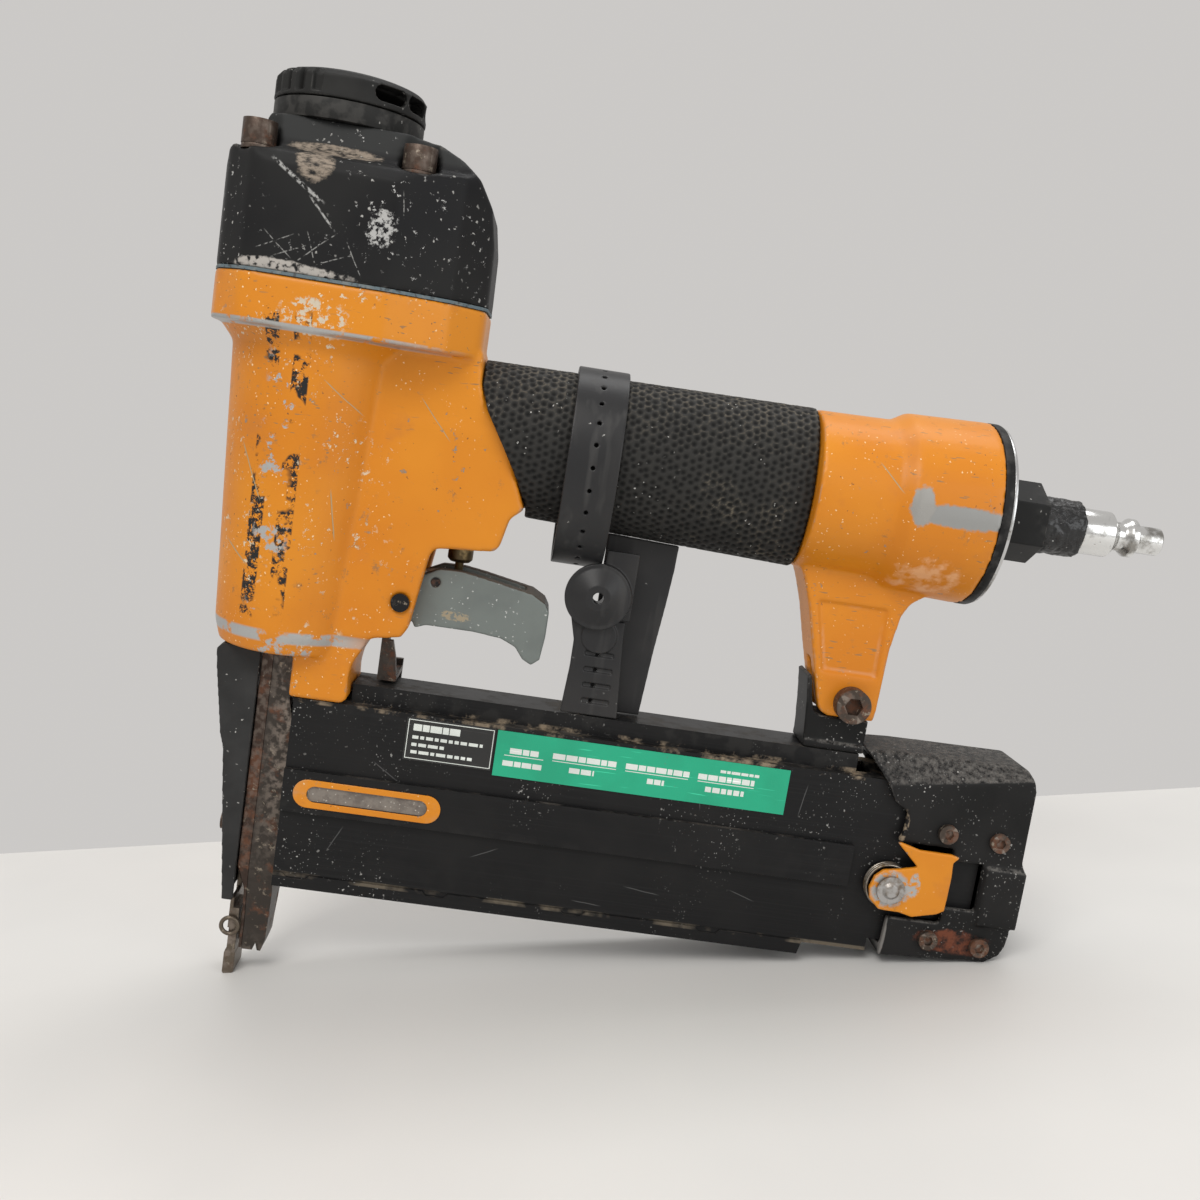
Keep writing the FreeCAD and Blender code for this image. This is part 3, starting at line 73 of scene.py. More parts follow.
MM = 0.001                                 # metres in a millimetre
WELD = 2e-6                                # metres under which two vertices are one
LENS = 37.26                               # millimetres, on a sensor 36 mm wide
CAMERA_PLACE = (0.0626, -0.3458, 0.1725)   # metres, in the tool's frame
CAMERA_ANGLES = (8.89, 8.22, -3.70)        # degrees of roll, pitch and yaw
CASTING_RISE, CASTING_RUN = 36.8, 215.5    # lowest edge of the end casting, seen from the tool's foot
scene = bpy.context.scene
print_widths = random.Random(7)


# ---------------------------------------------------------------- camera, floor and light
def add_camera():
    """A camera that stands a little above the handle and leans with the tool."""
    data = bpy.data.cameras.new("camera")
    data.sensor_width = 36.0
    data.lens = LENS
    data.clip_start = 0.01
    camera = bpy.data.objects.new("camera", data)
    scene.collection.objects.link(camera)
    roll, pitch, yaw = (math.radians(angle) for angle in CAMERA_ANGLES)
    axes = Matrix(((1, 0, 0), (0, 0, -1), (0, 1, 0)))
    leaned = Matrix.Rotation(roll, 3, "Z") @ Matrix.Rotation(pitch, 3, "X") @ Matrix.Rotation(yaw, 3, "Y")
    right, down, ahead = leaned @ axes
    facing = Matrix((right, -down, -ahead)).transposed().to_4x4()
    camera.matrix_world = Matrix.Translation(CAMERA_PLACE) @ facing
    scene.camera = camera


def add_floor():
    """A pale board that the foot and the end casting stand on, so it slopes in the tool's own frame."""
    slope = math.atan2(CASTING_RISE, CASTING_RUN)
    along = Vector((math.cos(slope), 0, math.sin(slope)))
    across = Vector((0, 1, 0))
    foot = Vector((-6.5, 0, 0)) * MM
    corners = ((-0.55, -0.62), (0.85, -0.62), (0.85, 0.180), (-0.55, 0.065))  # metres from the foot
    thick = along.cross(across) * 0.012
    mesh = bpy.data.meshes.new("floor_board")
    top = [foot + along * a + across * b for a, b in corners]
    low = [corner - thick for corner in top]
    sides = [(i, i + 4, (i + 1) % 4 + 4, (i + 1) % 4) for i in range(4)]
    mesh.from_pydata(top + low, [], [(0, 1, 2, 3), (7, 6, 5, 4)] + sides)
    floor = bpy.data.objects.new("floor_board", mesh)
    scene.collection.objects.link(floor)
    look = Look("floor_white", (0.71, 0.70, 0.68), 0.5)
    look.layer(look.step(look.noise(9, 3), 0.4, 0.7), (0.66, 0.655, 0.64), 0.55)
    floor.data.materials.append(look.finish(bump=0.0))


def add_light(name, where, aim, size, power, colour):
    """A soft rectangular lamp; where and size are in metres, power in watts."""
    data = bpy.data.lights.new(name, "AREA")
    data.shape = "RECTANGLE"
    data.size, data.size_y = size
    data.energy = power
    data.color = colour
    lamp = bpy.data.objects.new(name, data)
    lamp.location = where
    lamp.rotation_euler = (Vector(aim) - Vector(where)).to_track_quat("-Z", "Y").to_euler()
    scene.collection.objects.link(lamp)


def add_lights():
    """An even pale world and three soft lamps."""
    world = bpy.data.worlds.new("studio")
    scene.world = world
    world.use_nodes = True
    background = world.node_tree.nodes["Background"]
    background.inputs["Color"].default_value = (0.60, 0.585, 0.57, 1)
    background.inputs["Strength"].default_value = 1.0
    middle = (0.09, 0, 0.13)
    add_light("key", (-0.35, -0.75, 0.95), middle, (0.7, 0.5), 7.0, (1.0, 0.98, 0.95))
    add_light("fill", (0.75, -0.8, 0.5), middle, (0.6, 0.6), 2.6, (0.95, 0.98, 1.0))
    add_light("top", (0.1, 0.25, 1.1), middle, (0.9, 0.4), 3.8, (1.0, 1.0, 1.0))


# ---------------------------------------------------------------- materials
class Look:
    """One procedural material, built as layers over a base."""

    NEAR_SIDE = (-0.002, -0.004)   # metres in Y over which a mark for the near side comes in

    def __init__(self, name, colour, rough, metal=0.0):
        self.material = bpy.data.materials.new(name)
        self.material.use_nodes = True
        self.tree = self.material.node_tree
        self.shader = self.tree.nodes["Principled BSDF"]
        self.place = self.node("ShaderNodeTexCoord").outputs["Object"]
        self.values = {"Base Color": (*colour, 1), "Roughness": rough, "Metallic": metal}
        self.height = None

    def node(self, kind, inputs=(), **settings):
        made = self.tree.nodes.new(kind)
        for key, value in settings.items():
            setattr(made, key, value)
        for key, value in dict(inputs).items():
            self.feed(made.inputs[key], value)
        return made

    def feed(self, socket, value):
        if isinstance(value, bpy.types.NodeSocket):
            self.tree.links.new(value, socket)
        else:
            socket.default_value = value

    def calc(self, operation, a, b=0.0):
        made = self.node("ShaderNodeMath", {0: a, 1: b}, operation=operation)
        return made.outputs[0]

    def both(self, *masks):
        """Where all the masks are one."""
        result = masks[0]
        for mask in masks[1:]:
            result = self.calc("MULTIPLY", result, mask)
        return result

    def either(self, a, b):
        """Where one of two masks is one."""
        return self.calc("MAXIMUM", a, b)

    def step(self, value, low, high):
        """Nought at low, one at high, and a straight rise between them."""
        made = self.node("ShaderNodeMapRange", {"Value": value, "From Min": low, "From Max": high})
        return made.outputs["Result"]

    def moved(self, stretch, turn=(0, 0, 0), shift=(0, 0, 0)):
        made = self.node("ShaderNodeMapping", {
            "Vector": self.place, "Scale": stretch, "Rotation": turn, "Location": shift})
        return made.outputs["Vector"]

    def noise(self, scale, detail=2.0, rough=0.5, place=None):
        made = self.node("ShaderNodeTexNoise", {
            "Vector": place or self.place, "Scale": scale, "Detail": detail, "Roughness": rough})
        return made.outputs["Fac"]

    def specks(self, scale, size, share):
        """Uneven dots, one in some of the cells; share is the part of the cells that has one."""
        stir = self.node("ShaderNodeTexNoise", {"Vector": self.place, "Scale": scale * 1.7, "Detail": 2.0})
        bent = self.node("ShaderNodeVectorMath", {0: stir.outputs["Color"], 1: (0.9 / scale,) * 3, 2: self.place},
                         operation="MULTIPLY_ADD")
        made = self.node("ShaderNodeTexVoronoi", {"Vector": bent.outputs["Vector"], "Scale": scale})
        dot = self.step(made.outputs["Distance"], size, size * 0.6)
        pick = self.node("ShaderNodeSeparateColor", {"Color": made.outputs["Color"]}).outputs["Red"]
        return self.both(dot, self.step(pick, 1 - share, 1 - share + 0.02))

    def scratches(self, length, width, share, turn):
        """Short straight marks: noise drawn out along one direction."""
        drawn = self.moved((1 / length, 1 / width, 1 / width), turn)
        return self.step(self.noise(1.0, 1.0, 0.4, drawn), 0.5 + share, 0.53 + share)

    def axis(self, name):
        """Distance along one axis of the frame, in metres."""
        return self.node("ShaderNodeSeparateXYZ", {"Vector": self.place}).outputs[name]

    def band(self, name, low, high, soft):
        """One between two places along an axis, fading out over soft, in millimetres."""
        value = self.axis(name)
        up = self.step(value, (low - soft) * MM, low * MM)
        down = self.step(value, (high + soft) * MM, high * MM)
        return self.both(up, down)

    def blob(self, centre, radii, ragged=0.35, scale=130):
        """A ragged patch about a point, in millimetres."""
        stretch = [1 / (r * MM) for r in radii]
        shift = [-c / r for c, r in zip(centre, radii)]
        local = self.moved(stretch, shift=shift)
        length = self.node("ShaderNodeVectorMath", {0: local}, operation="LENGTH").outputs["Value"]
        frayed = self.calc("ADD", length, self.calc("MULTIPLY", self.noise(scale, 4, 0.7), ragged * 2))
        return self.step(frayed, 1.0 + ragged + 0.1, 1.0 + ragged - 0.1)

    def line(self, start, end, wide):
        """A straight mark on the near side between two places, each (x, z) in millimetres."""
        (x0, z0), (x1, z1) = start, end
        run = math.hypot(x1 - x0, z1 - z0)
        ax, az = (x1 - x0) / run, (z1 - z0) / run
        x, z = self.axis("X"), self.axis("Z")
        along = self.calc("ADD", self.calc("MULTIPLY", x, ax), self.calc("MULTIPLY", z, az))
        off = self.calc("ADD", self.calc("MULTIPLY", x, -az), self.calc("MULTIPLY", z, ax))
        waver = 0.6
        off = self.calc("ADD", off, self.calc("MULTIPLY", self.noise(120, 2), waver * MM))
        first = x0 * ax + z0 * az
        ends = self.both(self.step(along, (first - 1) * MM, (first + 1) * MM),
                         self.step(along, (first + run + 1) * MM, (first + run - 1) * MM))
        apart = self.calc("ABSOLUTE", self.calc("SUBTRACT", off, (z0 * ax - x0 * az + waver / 2) * MM))
        return self.both(ends, self.step(apart, wide * MM, wide * 0.4 * MM),
                         self.step(self.axis("Y"), *self.NEAR_SIDE))

    def edges(self, low, high):
        """Outer edges; sharp on a dense mesh, broad and faint on a coarse one."""
        return self.step(self.node("ShaderNodeNewGeometry").outputs["Pointiness"], low, high)

    def facing(self, name, low, high):
        """Places whose surface looks along an axis of the frame."""
        normal = self.node("ShaderNodeNewGeometry").outputs["Normal"]
        return self.step(self.node("ShaderNodeSeparateXYZ", {"Vector": normal}).outputs[name], low, high)

    def stored(self, name):
        """A value kept on the vertices of the mesh."""
        return self.node("ShaderNodeAttribute", attribute_name=name).outputs["Fac"]

    def layer(self, mask, colour=None, rough=None, metal=None, lift=0.0):
        """Lays another finish over the ones below where the mask is one."""
        if colour is not None:
            made = self.node("ShaderNodeMix", data_type="RGBA")
            self.feed(made.inputs[0], mask)
            self.feed(made.inputs[6], self.values["Base Color"])
            self.feed(made.inputs[7], (*colour, 1))
            self.values["Base Color"] = made.outputs[2]
        for key, value in (("Roughness", rough), ("Metallic", metal)):
            if value is None:
                continue
            made = self.node("ShaderNodeMix", data_type="FLOAT")
            self.feed(made.inputs[0], mask)
            self.feed(made.inputs[2], self.values[key])
            self.feed(made.inputs[3], value)
            self.values[key] = made.outputs[0]
        if lift:
            self.raise_by(mask, lift)

    def raise_by(self, value, amount):
        """Adds to the height that the bump takes its shape from."""
        part = self.calc("MULTIPLY", value, amount)
        self.height = part if self.height is None else self.calc("ADD", self.height, part)

    def finish(self, bump=0.5, coat=0.0, specular=0.5):
        """bump is the height of the lifted layers, in millimetres."""
        for key, value in self.values.items():
            self.feed(self.shader.inputs[key], value)
        self.shader.inputs["Coat Weight"].default_value = coat
        self.shader.inputs["Coat Roughness"].default_value = 0.25
        self.shader.inputs["Specular IOR Level"].default_value = specular
        if self.height is not None and bump:
            made = self.node("ShaderNodeBump", {"Height": self.height, "Distance": bump * MM, "Strength": 1.0})
            self.tree.links.new(made.outputs["Normal"], self.shader.inputs["Normal"])
        return self.material


NEAR_BLACK = (0.012, 0.012, 0.012)
WHITE_DUST = (0.40, 0.395, 0.375)
TAN_DUST = (0.24, 0.19, 0.135)
SILVER = (0.42, 0.42, 0.41)
RUST = (0.105, 0.042, 0.020)


def orange_paint(name, barrel=False):
    """Old orange paint; barrel adds the marks that only the housing has."""
    look = Look(name, (0.66, 0.235, 0.012), 0.40)
    look.layer(look.step(look.noise(22, 3), 0.42, 0.62), (0.60, 0.195, 0.008), 0.44)
    look.layer(look.step(look.noise(60, 5, 0.6), 0.58, 0.75), (0.55, 0.185, 0.02), 0.48)
    look.raise_by(look.noise(900, 3, 0.6), 0.05)
    grime = look.both(look.step(look.noise(260, 6, 0.75), 0.60, 0.68), look.step(look.noise(45, 2), 0.42, 0.6))
    look.layer(grime, (0.36, 0.16, 0.045), 0.6)
    dots = look.specks(640, 0.17, 0.2)
    look.layer(look.both(dots, look.step(look.noise(40), 0.45, 0.6)), (0.16, 0.07, 0.03), 0.6)
    nicks = look.both(look.step(look.noise(330, 5, 0.7), 0.655, 0.675), look.step(look.noise(38, 2), 0.5, 0.56))
    look.layer(nicks, (0.30, 0.24, 0.18), 0.55, 0.2, -0.5)
    marks = look.both(look.scratches(0.004, 0.0007, 0.20, (0.3, 2.1, 0.6)), look.step(look.noise(30, 2), 0.5, 0.6))
    look.layer(marks, (0.34, 0.17, 0.06), 0.55)
    pale = look.both(look.specks(900, 0.22, 0.3), look.step(look.noise(55), 0.45, 0.55))
    look.layer(pale, (0.85, 0.62, 0.35), 0.7, lift=0.3)
    if barrel:
        housing_wear(look)
    else:
        worn = look.either(look.blob((177.1, -17, 55.6), (5.4, 4, 5.4), 0.25, 260),
                           look.blob((183.6, -17, 57.5), (1.8, 4, 3.4), 0.6, 320))
        look.layer(look.both(worn, look.step(look.noise(420, 4, 0.7), 0.44, 0.52)), SILVER, 0.42, 0.4, -0.3)
    bare = look.both(look.edges(0.535, 0.575), look.step(look.noise(180, 4, 0.6), 0.46, 0.56))
    look.layer(bare, (0.36, 0.33, 0.29), 0.4, 0.5, -0.6)
    return look.finish(bump=0.12, coat=0.08, specular=0.3)


def housing_wear(look):
    """Bare, chipped and marked places of the housing."""
    ragged = look.step(look.noise(420, 5, 0.7), 0.5, 0.56)
    near = look.step(look.axis("Y"), 0.004, -0.004)
    front = look.step(look.axis("X"), 0.030, 0.016)
    # old print on the barrel, worn to plain black remnants
    rows = look.both(look.band("Z", 108, 187, 1),
                     look.either(look.band("X", -10.2, -6.6, 0.3), look.band("X", -2.6, 1.4, 0.3)))
    beat = look.step(look.noise(75, 3, 0.6), 0.46, 0.50)
    print_left = look.both(rows, near, beat, look.step(look.noise(420, 5, 0.75), 0.47, 0.51))
    look.layer(print_left, NEAR_BLACK, 0.5)
    worn = look.both(look.band("X", -7.6, -1.0, 2.0), look.band("Z", 110, 180, 6), near,
                     look.step(look.noise(120, 5, 0.7), 0.60, 0.63))
    look.layer(worn, SILVER, 0.45, 0.35, -0.4)
    chips = look.both(look.step(look.noise(520, 4, 0.7), 0.60, 0.63), look.step(look.noise(75, 2), 0.53, 0.60),
                      near, front)
    look.layer(chips, (0.66, 0.54, 0.38), 0.55, 0.0, -0.4)
    patch = look.blob((2, -26, 186), (9, 6, 5), 0.5, 240)
    look.layer(look.both(patch, look.step(look.noise(520, 4, 0.7), 0.51, 0.56)), (0.58, 0.50, 0.38), 0.5)
    for start, end, wide in (
        ((-14, 152), (-8, 139), 0.22), ((6, 171), (15, 164), 0.18), ((10, 143), (12, 131), 0.2),
        ((-16, 126), (-10, 121), 0.25), ((30, 170), (38, 161), 0.16), ((152, 172), (158, 166), 0.2),
    ):
        look.layer(look.line(start, end, wide), (0.40, 0.30, 0.17), 0.5, 0.1, -0.3)
    # bare metal round the ledge, the foot of the barrel and the bell
    ledge = look.both(look.band("Z", 182.2, 183.6, 0.3), look.step(look.noise(150, 4, 0.7), 0.36, 0.44),
                      look.step(look.axis("X"), 0.042, 0.020))
    look.layer(ledge, SILVER, 0.38, 0.55, -0.3)
    ring = look.both(look.band("Z", 101.6, 104.2, 0.6), front, look.step(look.noise(130, 4, 0.7), 0.38, 0.46))
    look.layer(ring, SILVER, 0.38, 0.5, -0.3)
    look.layer(look.both(look.blob((2, -20, 99.4), (9, 8, 2.6), 0.4, 200), ragged), SILVER, 0.45, 0.4)
    streak = look.blob((175, -24, 161.5), (13.5, 9, 3.0), 0.42, 300)
    look.layer(streak, (0.30, 0.30, 0.29), 0.42, 0.45, -0.3)
    streak_head = look.blob((163.5, -24, 163), (3.0, 9, 5.5), 0.5, 320)
    look.layer(streak_head, (0.33, 0.32, 0.30), 0.42, 0.4, -0.3)
    smear = look.both(look.blob((170, -24, 143), (12, 16, 6), 0.6, 90), look.step(look.noise(300, 4), 0.42, 0.6))
    look.layer(smear, (0.72, 0.36, 0.16), 0.6)
    dusty = look.both(look.blob((156, -9, 121), (11, 4, 12), 0.4, 120), look.edges(0.49, 0.44))
    look.layer(dusty, (0.62, 0.34, 0.20), 0.75)


def cap_black(name):
    """Black paint of the cap, with dust, rubbed places and crossing scratches."""
    look = Look(name, (0.011, 0.011, 0.012), 0.46)
    look.layer(look.step(look.noise(30, 3), 0.4, 0.65), (0.017, 0.017, 0.017), 0.55)
    look.layer(look.band("Z", 229.6, 242, 1.2), (0.030, 0.031, 0.031), 0.6)
    look.raise_by(look.noise(1100, 3, 0.6), 0.08)
    cluster = look.step(look.noise(55, 2), 0.40, 0.58)
    look.layer(look.both(look.specks(620, 0.24, 0.25), cluster), WHITE_DUST, 0.8, lift=0.4)
    flecks = look.both(look.step(look.noise(520, 5, 0.75), 0.635, 0.66), cluster)
    look.layer(flecks, (0.45, 0.45, 0.44), 0.8)
    dry = look.step(look.noise(900, 4, 0.7), 0.46, 0.54)
    trail = look.either(look.line((-12, 222.5), (0.5, 214), 0.6), look.line((-2, 214.5), (4, 208), 0.35))
    look.layer(look.both(trail, dry), (0.36, 0.36, 0.35), 0.75)
    for start, end in (
        ((-14, 201), (-6, 205)), ((-9, 200), (-2, 203)), ((-4, 199), (5, 207)), ((1, 199), (8, 202)),
        ((-12, 205), (-6, 200)), ((8, 205), (12, 198)), ((-2, 206), (1, 198)), ((20, 219), (20.6, 214)),
    ):
        look.layer(look.both(look.line(start, end, 0.17), dry), (0.24, 0.24, 0.23), 0.7)
    splash = look.both(look.blob((15.8, -28, 210), (3.4, 6, 4.4), 0.9, 480), dry)
    look.layer(splash, SILVER, 0.75)
    rubbed = look.either(look.blob((1.5, -25, 227.6), (12, 12, 1.7), 0.4, 300),
                         look.blob((-2.4, -27.5, 223.8), (4.6, 6, 5.4), 0.45, 300))
    streaky = look.step(look.noise(1.0, 4, 0.7, look.moved((420, 900, 900))), 0.36, 0.56)
    look.layer(look.both(rubbed, streaky), (0.27, 0.225, 0.18), 0.85)
    drift = look.both(look.blob((-7, -27.5, 196.8), (16, 6, 1.9), 0.6, 160),
                      look.step(look.noise(700, 4), 0.38, 0.5))
    look.layer(drift, (0.40, 0.375, 0.345), 0.85)
    worn = look.both(look.edges(0.53, 0.57), look.step(look.noise(200, 3), 0.5, 0.6))
    look.layer(worn, (0.13, 0.12, 0.11), 0.5)
    return look.finish(bump=0.10, specular=0.13)


def moulded_plastic(name, colour=(0.016, 0.016, 0.0155), rough=0.5):
    """Moulded plastic or rubber of one colour, with a little dust and paler edges."""
    look = Look(name, colour, rough)
    look.layer(look.step(look.noise(80, 3), 0.45, 0.7), tuple(c * 1.5 for c in colour), rough + 0.08)
    look.raise_by(look.noise(1500, 2, 0.5), 0.06)
    look.layer(look.both(look.specks(700, 0.22, 0.14), look.step(look.noise(70), 0.45, 0.6)), WHITE_DUST, 0.8)
    worn = look.both(look.edges(0.53, 0.58), look.step(look.noise(300, 3), 0.45, 0.6))
    look.layer(worn, (0.10, 0.096, 0.09), 0.5)
    return look.finish(bump=0.08, specular=0.15)


def magazine_black(name):
    """Black anodised sheet and extrusion, drawn along X, with dust on its ledges."""
    look = Look(name, (0.009, 0.009, 0.0095), 0.36)
    look.layer(look.step(look.noise(35, 3, 0.6), 0.42, 0.68), (0.014, 0.0135, 0.0135), 0.46)
    lines = look.noise(1.0, 2, 0.6, look.moved((14, 2200, 2200)))
    look.layer(look.step(lines, 0.52, 0.72), (0.013, 0.013, 0.0135), 0.42)
    cluster = look.either(look.step(look.noise(26, 3, 0.7), 0.50, 0.66), look.both(
        look.band("X", 2, 30, 14), look.step(look.noise(60, 2), 0.45, 0.6)))
    look.layer(look.both(look.specks(720, 0.25, 0.16), cluster), WHITE_DUST, 0.85, lift=0.4)
    look.layer(look.both(look.specks(1500, 0.3, 0.22), cluster), (0.28, 0.28, 0.27), 0.85)
    look.layer(look.both(look.step(look.noise(420, 5, 0.8), 0.675, 0.70), cluster), (0.50, 0.49, 0.47), 0.8)
    for start, end in (
        ((60, 47), (66, 50)), ((104, 44), (113, 43)), ((120, 78), (121, 70)), ((150, 80), (149, 72)),
        ((30, 70), (36, 66)), ((90, 38), (97, 37.5)), ((20, 44), (23, 50)), ((134, 47), (140, 45)),
    ):
        look.layer(look.line(start, end, 0.18), (0.07, 0.07, 0.07), 0.5)
    settled = look.both(look.facing("Z", 0.55, 0.95), look.step(look.noise(70, 4, 0.7), 0.46, 0.66))
    look.layer(settled, (0.075, 0.068, 0.06), 0.8)
    ledge = look.both(look.band("Z", 84.4, 86.2, 0.4), look.step(look.noise(90, 5, 0.7), 0.50, 0.60))
    look.layer(ledge, TAN_DUST, 0.9, lift=0.5)
    seam = look.both(look.band("Z", 34.3, 35.5, 0.3), look.step(look.noise(50, 4, 0.7), 0.47, 0.58))
    look.layer(seam, (0.12, 0.10, 0.075), 0.85)
    rubbed = look.both(look.edges(0.53, 0.6), look.step(look.noise(160, 3), 0.5, 0.6))
    look.layer(rubbed, (0.020, 0.0195, 0.019), 0.42)
    return look.finish(bump=0.06, specular=0.17)


def casting_black(name):
    """Rough black casting with dust on top and rust between the lower screws."""
    look = Look(name, (0.010, 0.010, 0.010), 0.44)
    look.layer(look.step(look.noise(45, 3), 0.42, 0.66), (0.016, 0.0155, 0.0155), 0.5)
    look.raise_by(look.noise(900, 4, 0.6), 0.15)
    cluster = look.step(look.noise(60, 3, 0.7), 0.42, 0.60)
    look.layer(look.both(look.specks(760, 0.26, 0.2), cluster), WHITE_DUST, 0.85, lift=0.4)
    look.layer(look.both(look.specks(1500, 0.3, 0.25), cluster), (0.28, 0.28, 0.27), 0.85)
    dusty = look.both(look.facing("Z", 0.30, 0.6), look.step(look.noise(520, 5, 0.8), 0.40, 0.62))
    look.layer(dusty, (0.13, 0.124, 0.116), 0.85, lift=0.3)
    smear = look.both(look.blob((198.5, -14.5, 41.5), (10.5, 3, 3.6), 0.5, 200),
                      look.step(look.noise(260, 4, 0.7), 0.40, 0.60))
    look.layer(smear, (0.15, 0.05, 0.028), 0.8)
    paler = look.both(look.edges(0.53, 0.58), look.step(look.noise(200, 3), 0.45, 0.6))
    look.layer(paler, (0.10, 0.095, 0.09), 0.45)
    worn = look.either(look.blob((178.3, -14.5, 41), (0.8, 2.5, 6), 0.3, 300),
                       look.line((178.2, 37), (178.6, 46), 0.5))
    look.layer(worn, (0.20, 0.19, 0.18), 0.45, 0.4)
    debris = look.both(look.blob((178.4, -14.5, 73.5), (1.3, 3, 4.5), 0.5, 400),
                       look.step(look.noise(500), 0.4, 0.5))
    look.layer(debris, TAN_DUST, 0.9, lift=0.5)
    return look.finish(bump=0.12, specular=0.15)


def grip_rubber(name):
    """Rubber with painted shade in its dimples, and dusty on the ridges between them."""
    look = Look(name, (0.026, 0.025, 0.023), 0.55)
    look.layer(look.step(look.noise(28, 3), 0.4, 0.7), (0.018, 0.0175, 0.017), 0.62)
    # painted shade: every dimple made near black by its depth
    look.layer(look.stored("pit"), (0.005, 0.005, 0.005), 0.8)
    dusty = look.both(look.stored("ridge"), look.either(
        look.facing("Z", 0.2, 0.9), look.step(look.noise(38, 3, 0.6), 0.56, 0.66)))
    look.layer(look.both(dusty, look.step(look.noise(500, 3, 0.7), 0.42, 0.6)), (0.14, 0.12, 0.09), 0.8)
    look.layer(look.both(look.specks(900, 0.24, 0.12), look.step(look.noise(60), 0.5, 0.6)), WHITE_DUST, 0.8)
    look.raise_by(look.noise(1600, 3, 0.6), 0.2)
    return look.finish(bump=0.06, specular=0.2)


def strap_rubber(name):
    """Smooth black rubber with paler streaks that run upwards."""
    look = Look(name, (0.018, 0.018, 0.019), 0.36)
    look.layer(look.step(look.noise(60, 3), 0.45, 0.7), (0.027, 0.026, 0.026), 0.46)
    # paler streaks stretched upwards
    drawn = look.noise(1.0, 2, 0.6, look.moved((260, 260, 22)))
    look.layer(look.step(drawn, 0.55, 0.8), (0.045, 0.044, 0.043), 0.5)
    look.layer(look.both(look.specks(520, 0.18, 0.08), look.step(look.noise(80), 0.5, 0.6)), WHITE_DUST, 0.8)
    look.raise_by(look.noise(600, 3, 0.6), 0.2)
    return look.finish(bump=0.05, specular=0.3)


def trigger_grey(name):
    """Grey-green plastic, dirty and evenly darker on its upward faces, and chipped low on the side."""
    look = Look(name, (0.145, 0.165, 0.155), 0.45)
    look.layer(look.step(look.noise(70, 3), 0.42, 0.66), (0.115, 0.130, 0.124), 0.5)
    look.layer(look.both(look.specks(1000, 0.26, 0.3), look.step(look.noise(110, 2), 0.42, 0.55)),
               (0.55, 0.56, 0.54), 0.8, lift=0.3)
    chip = look.both(look.blob((46, -7.8, 113.2), (4.2, 3, 1.3), 0.6, 420),
                     look.step(look.noise(900, 3), 0.45, 0.5))
    look.layer(chip, (0.30, 0.25, 0.17), 0.8)
    top = look.both(look.facing("Z", 0.35, 0.6), look.step(look.noise(260, 4, 0.7), 0.46, 0.56))
    look.layer(top, (0.035, 0.028, 0.020), 0.8)
    # every upward face made evenly darker brown, without noise
    look.layer(look.facing("Z", 0.45, 0.8), (0.08, 0.065, 0.05), 0.7)
    look.raise_by(look.noise(1300, 2), 0.1)
    return look.finish(bump=0.06)


def rusty_steel(name, base, rust_share, rough=0.42):
    """Dark steel, the more of it rusted the higher rust_share is."""
    look = Look(name, base, rough, 0.7)
    high = 0.62 - rust_share * 0.2
    look.layer(look.step(look.noise(160, 5, 0.7), high, high + 0.10), RUST, 0.8, 0.1, 0.4)
    look.layer(look.step(look.noise(420, 5, 0.7), 0.60, 0.66), (0.26, 0.22, 0.17), 0.5, 0.6)
    look.raise_by(look.noise(1400, 3, 0.6), 0.25)
    rubbed = look.both(look.edges(0.53, 0.60), look.step(look.noise(500, 3), 0.45, 0.6))
    look.layer(rubbed, (0.24, 0.20, 0.17), 0.35, 0.8)
    return look.finish(bump=0.10)


def bright_metal(name, colour, rough, tarnish=(0.30, 0.29, 0.27), share=0.5):
    """Plated or plain metal with turning marks; share is how much of it is tarnished."""
    look = Look(name, colour, rough, 1.0)
    look.layer(look.step(look.noise(150, 4, 0.6), 0.62 - share * 0.2, 0.74 - share * 0.2), tarnish, rough + 0.14)
    look.layer(look.both(look.specks(900, 0.2, 0.2), look.step(look.noise(120), 0.45, 0.6)), (0.14, 0.12, 0.10), 0.6)
    look.raise_by(look.noise(1.0, 2, 0.5, look.moved((2600, 200, 200))), 0.12)
    return look.finish(bump=0.03)


def foil_label(name, colour, dirt):
    """Printed foil or ink, a little dirty and scratched."""
    look = Look(name, colour, 0.34)
    look.layer(look.step(look.noise(70, 4), 0.45, 0.7), tuple(c * 0.86 for c in colour), 0.40)
    look.layer(look.step(look.noise(260, 5, 0.75), 0.66, 0.72), dirt, 0.6)
    paler = tuple(min(1, c * 1.5 + 0.03) for c in colour)
    look.layer(look.scratches(0.012, 0.0004, 0.22, (0.1, 0.3, 0.0)), paler, 0.5)
    look.raise_by(look.noise(500, 2), 0.1)
    return look.finish(bump=0.02)


def smoked_window(name):
    """Dull brown window insert under dust."""
    look = Look(name, (0.20, 0.175, 0.15), 0.6)
    look.layer(look.step(look.noise(240, 5, 0.7), 0.45, 0.62), (0.13, 0.11, 0.095), 0.7)
    look.layer(look.specks(1300, 0.3, 0.25), (0.46, 0.43, 0.38), 0.8, lift=0.5)
    look.raise_by(look.noise(1200, 3), 0.2)
    return look.finish(bump=0.08)


def sealant_black(name):
    """Lumpy black thread sealant."""
    look = Look(name, (0.0075, 0.0075, 0.008), 0.28)
    look.layer(look.step(look.noise(300, 4, 0.7), 0.52, 0.62), (0.012, 0.011, 0.011), 0.5, lift=0.5)
    look.layer(look.both(look.specks(1100, 0.2, 0.1), look.step(look.noise(200), 0.5, 0.6)), (0.5, 0.5, 0.48), 0.7)
    look.raise_by(look.noise(700, 4, 0.6), 0.5)
    return look.finish(bump=0.25)


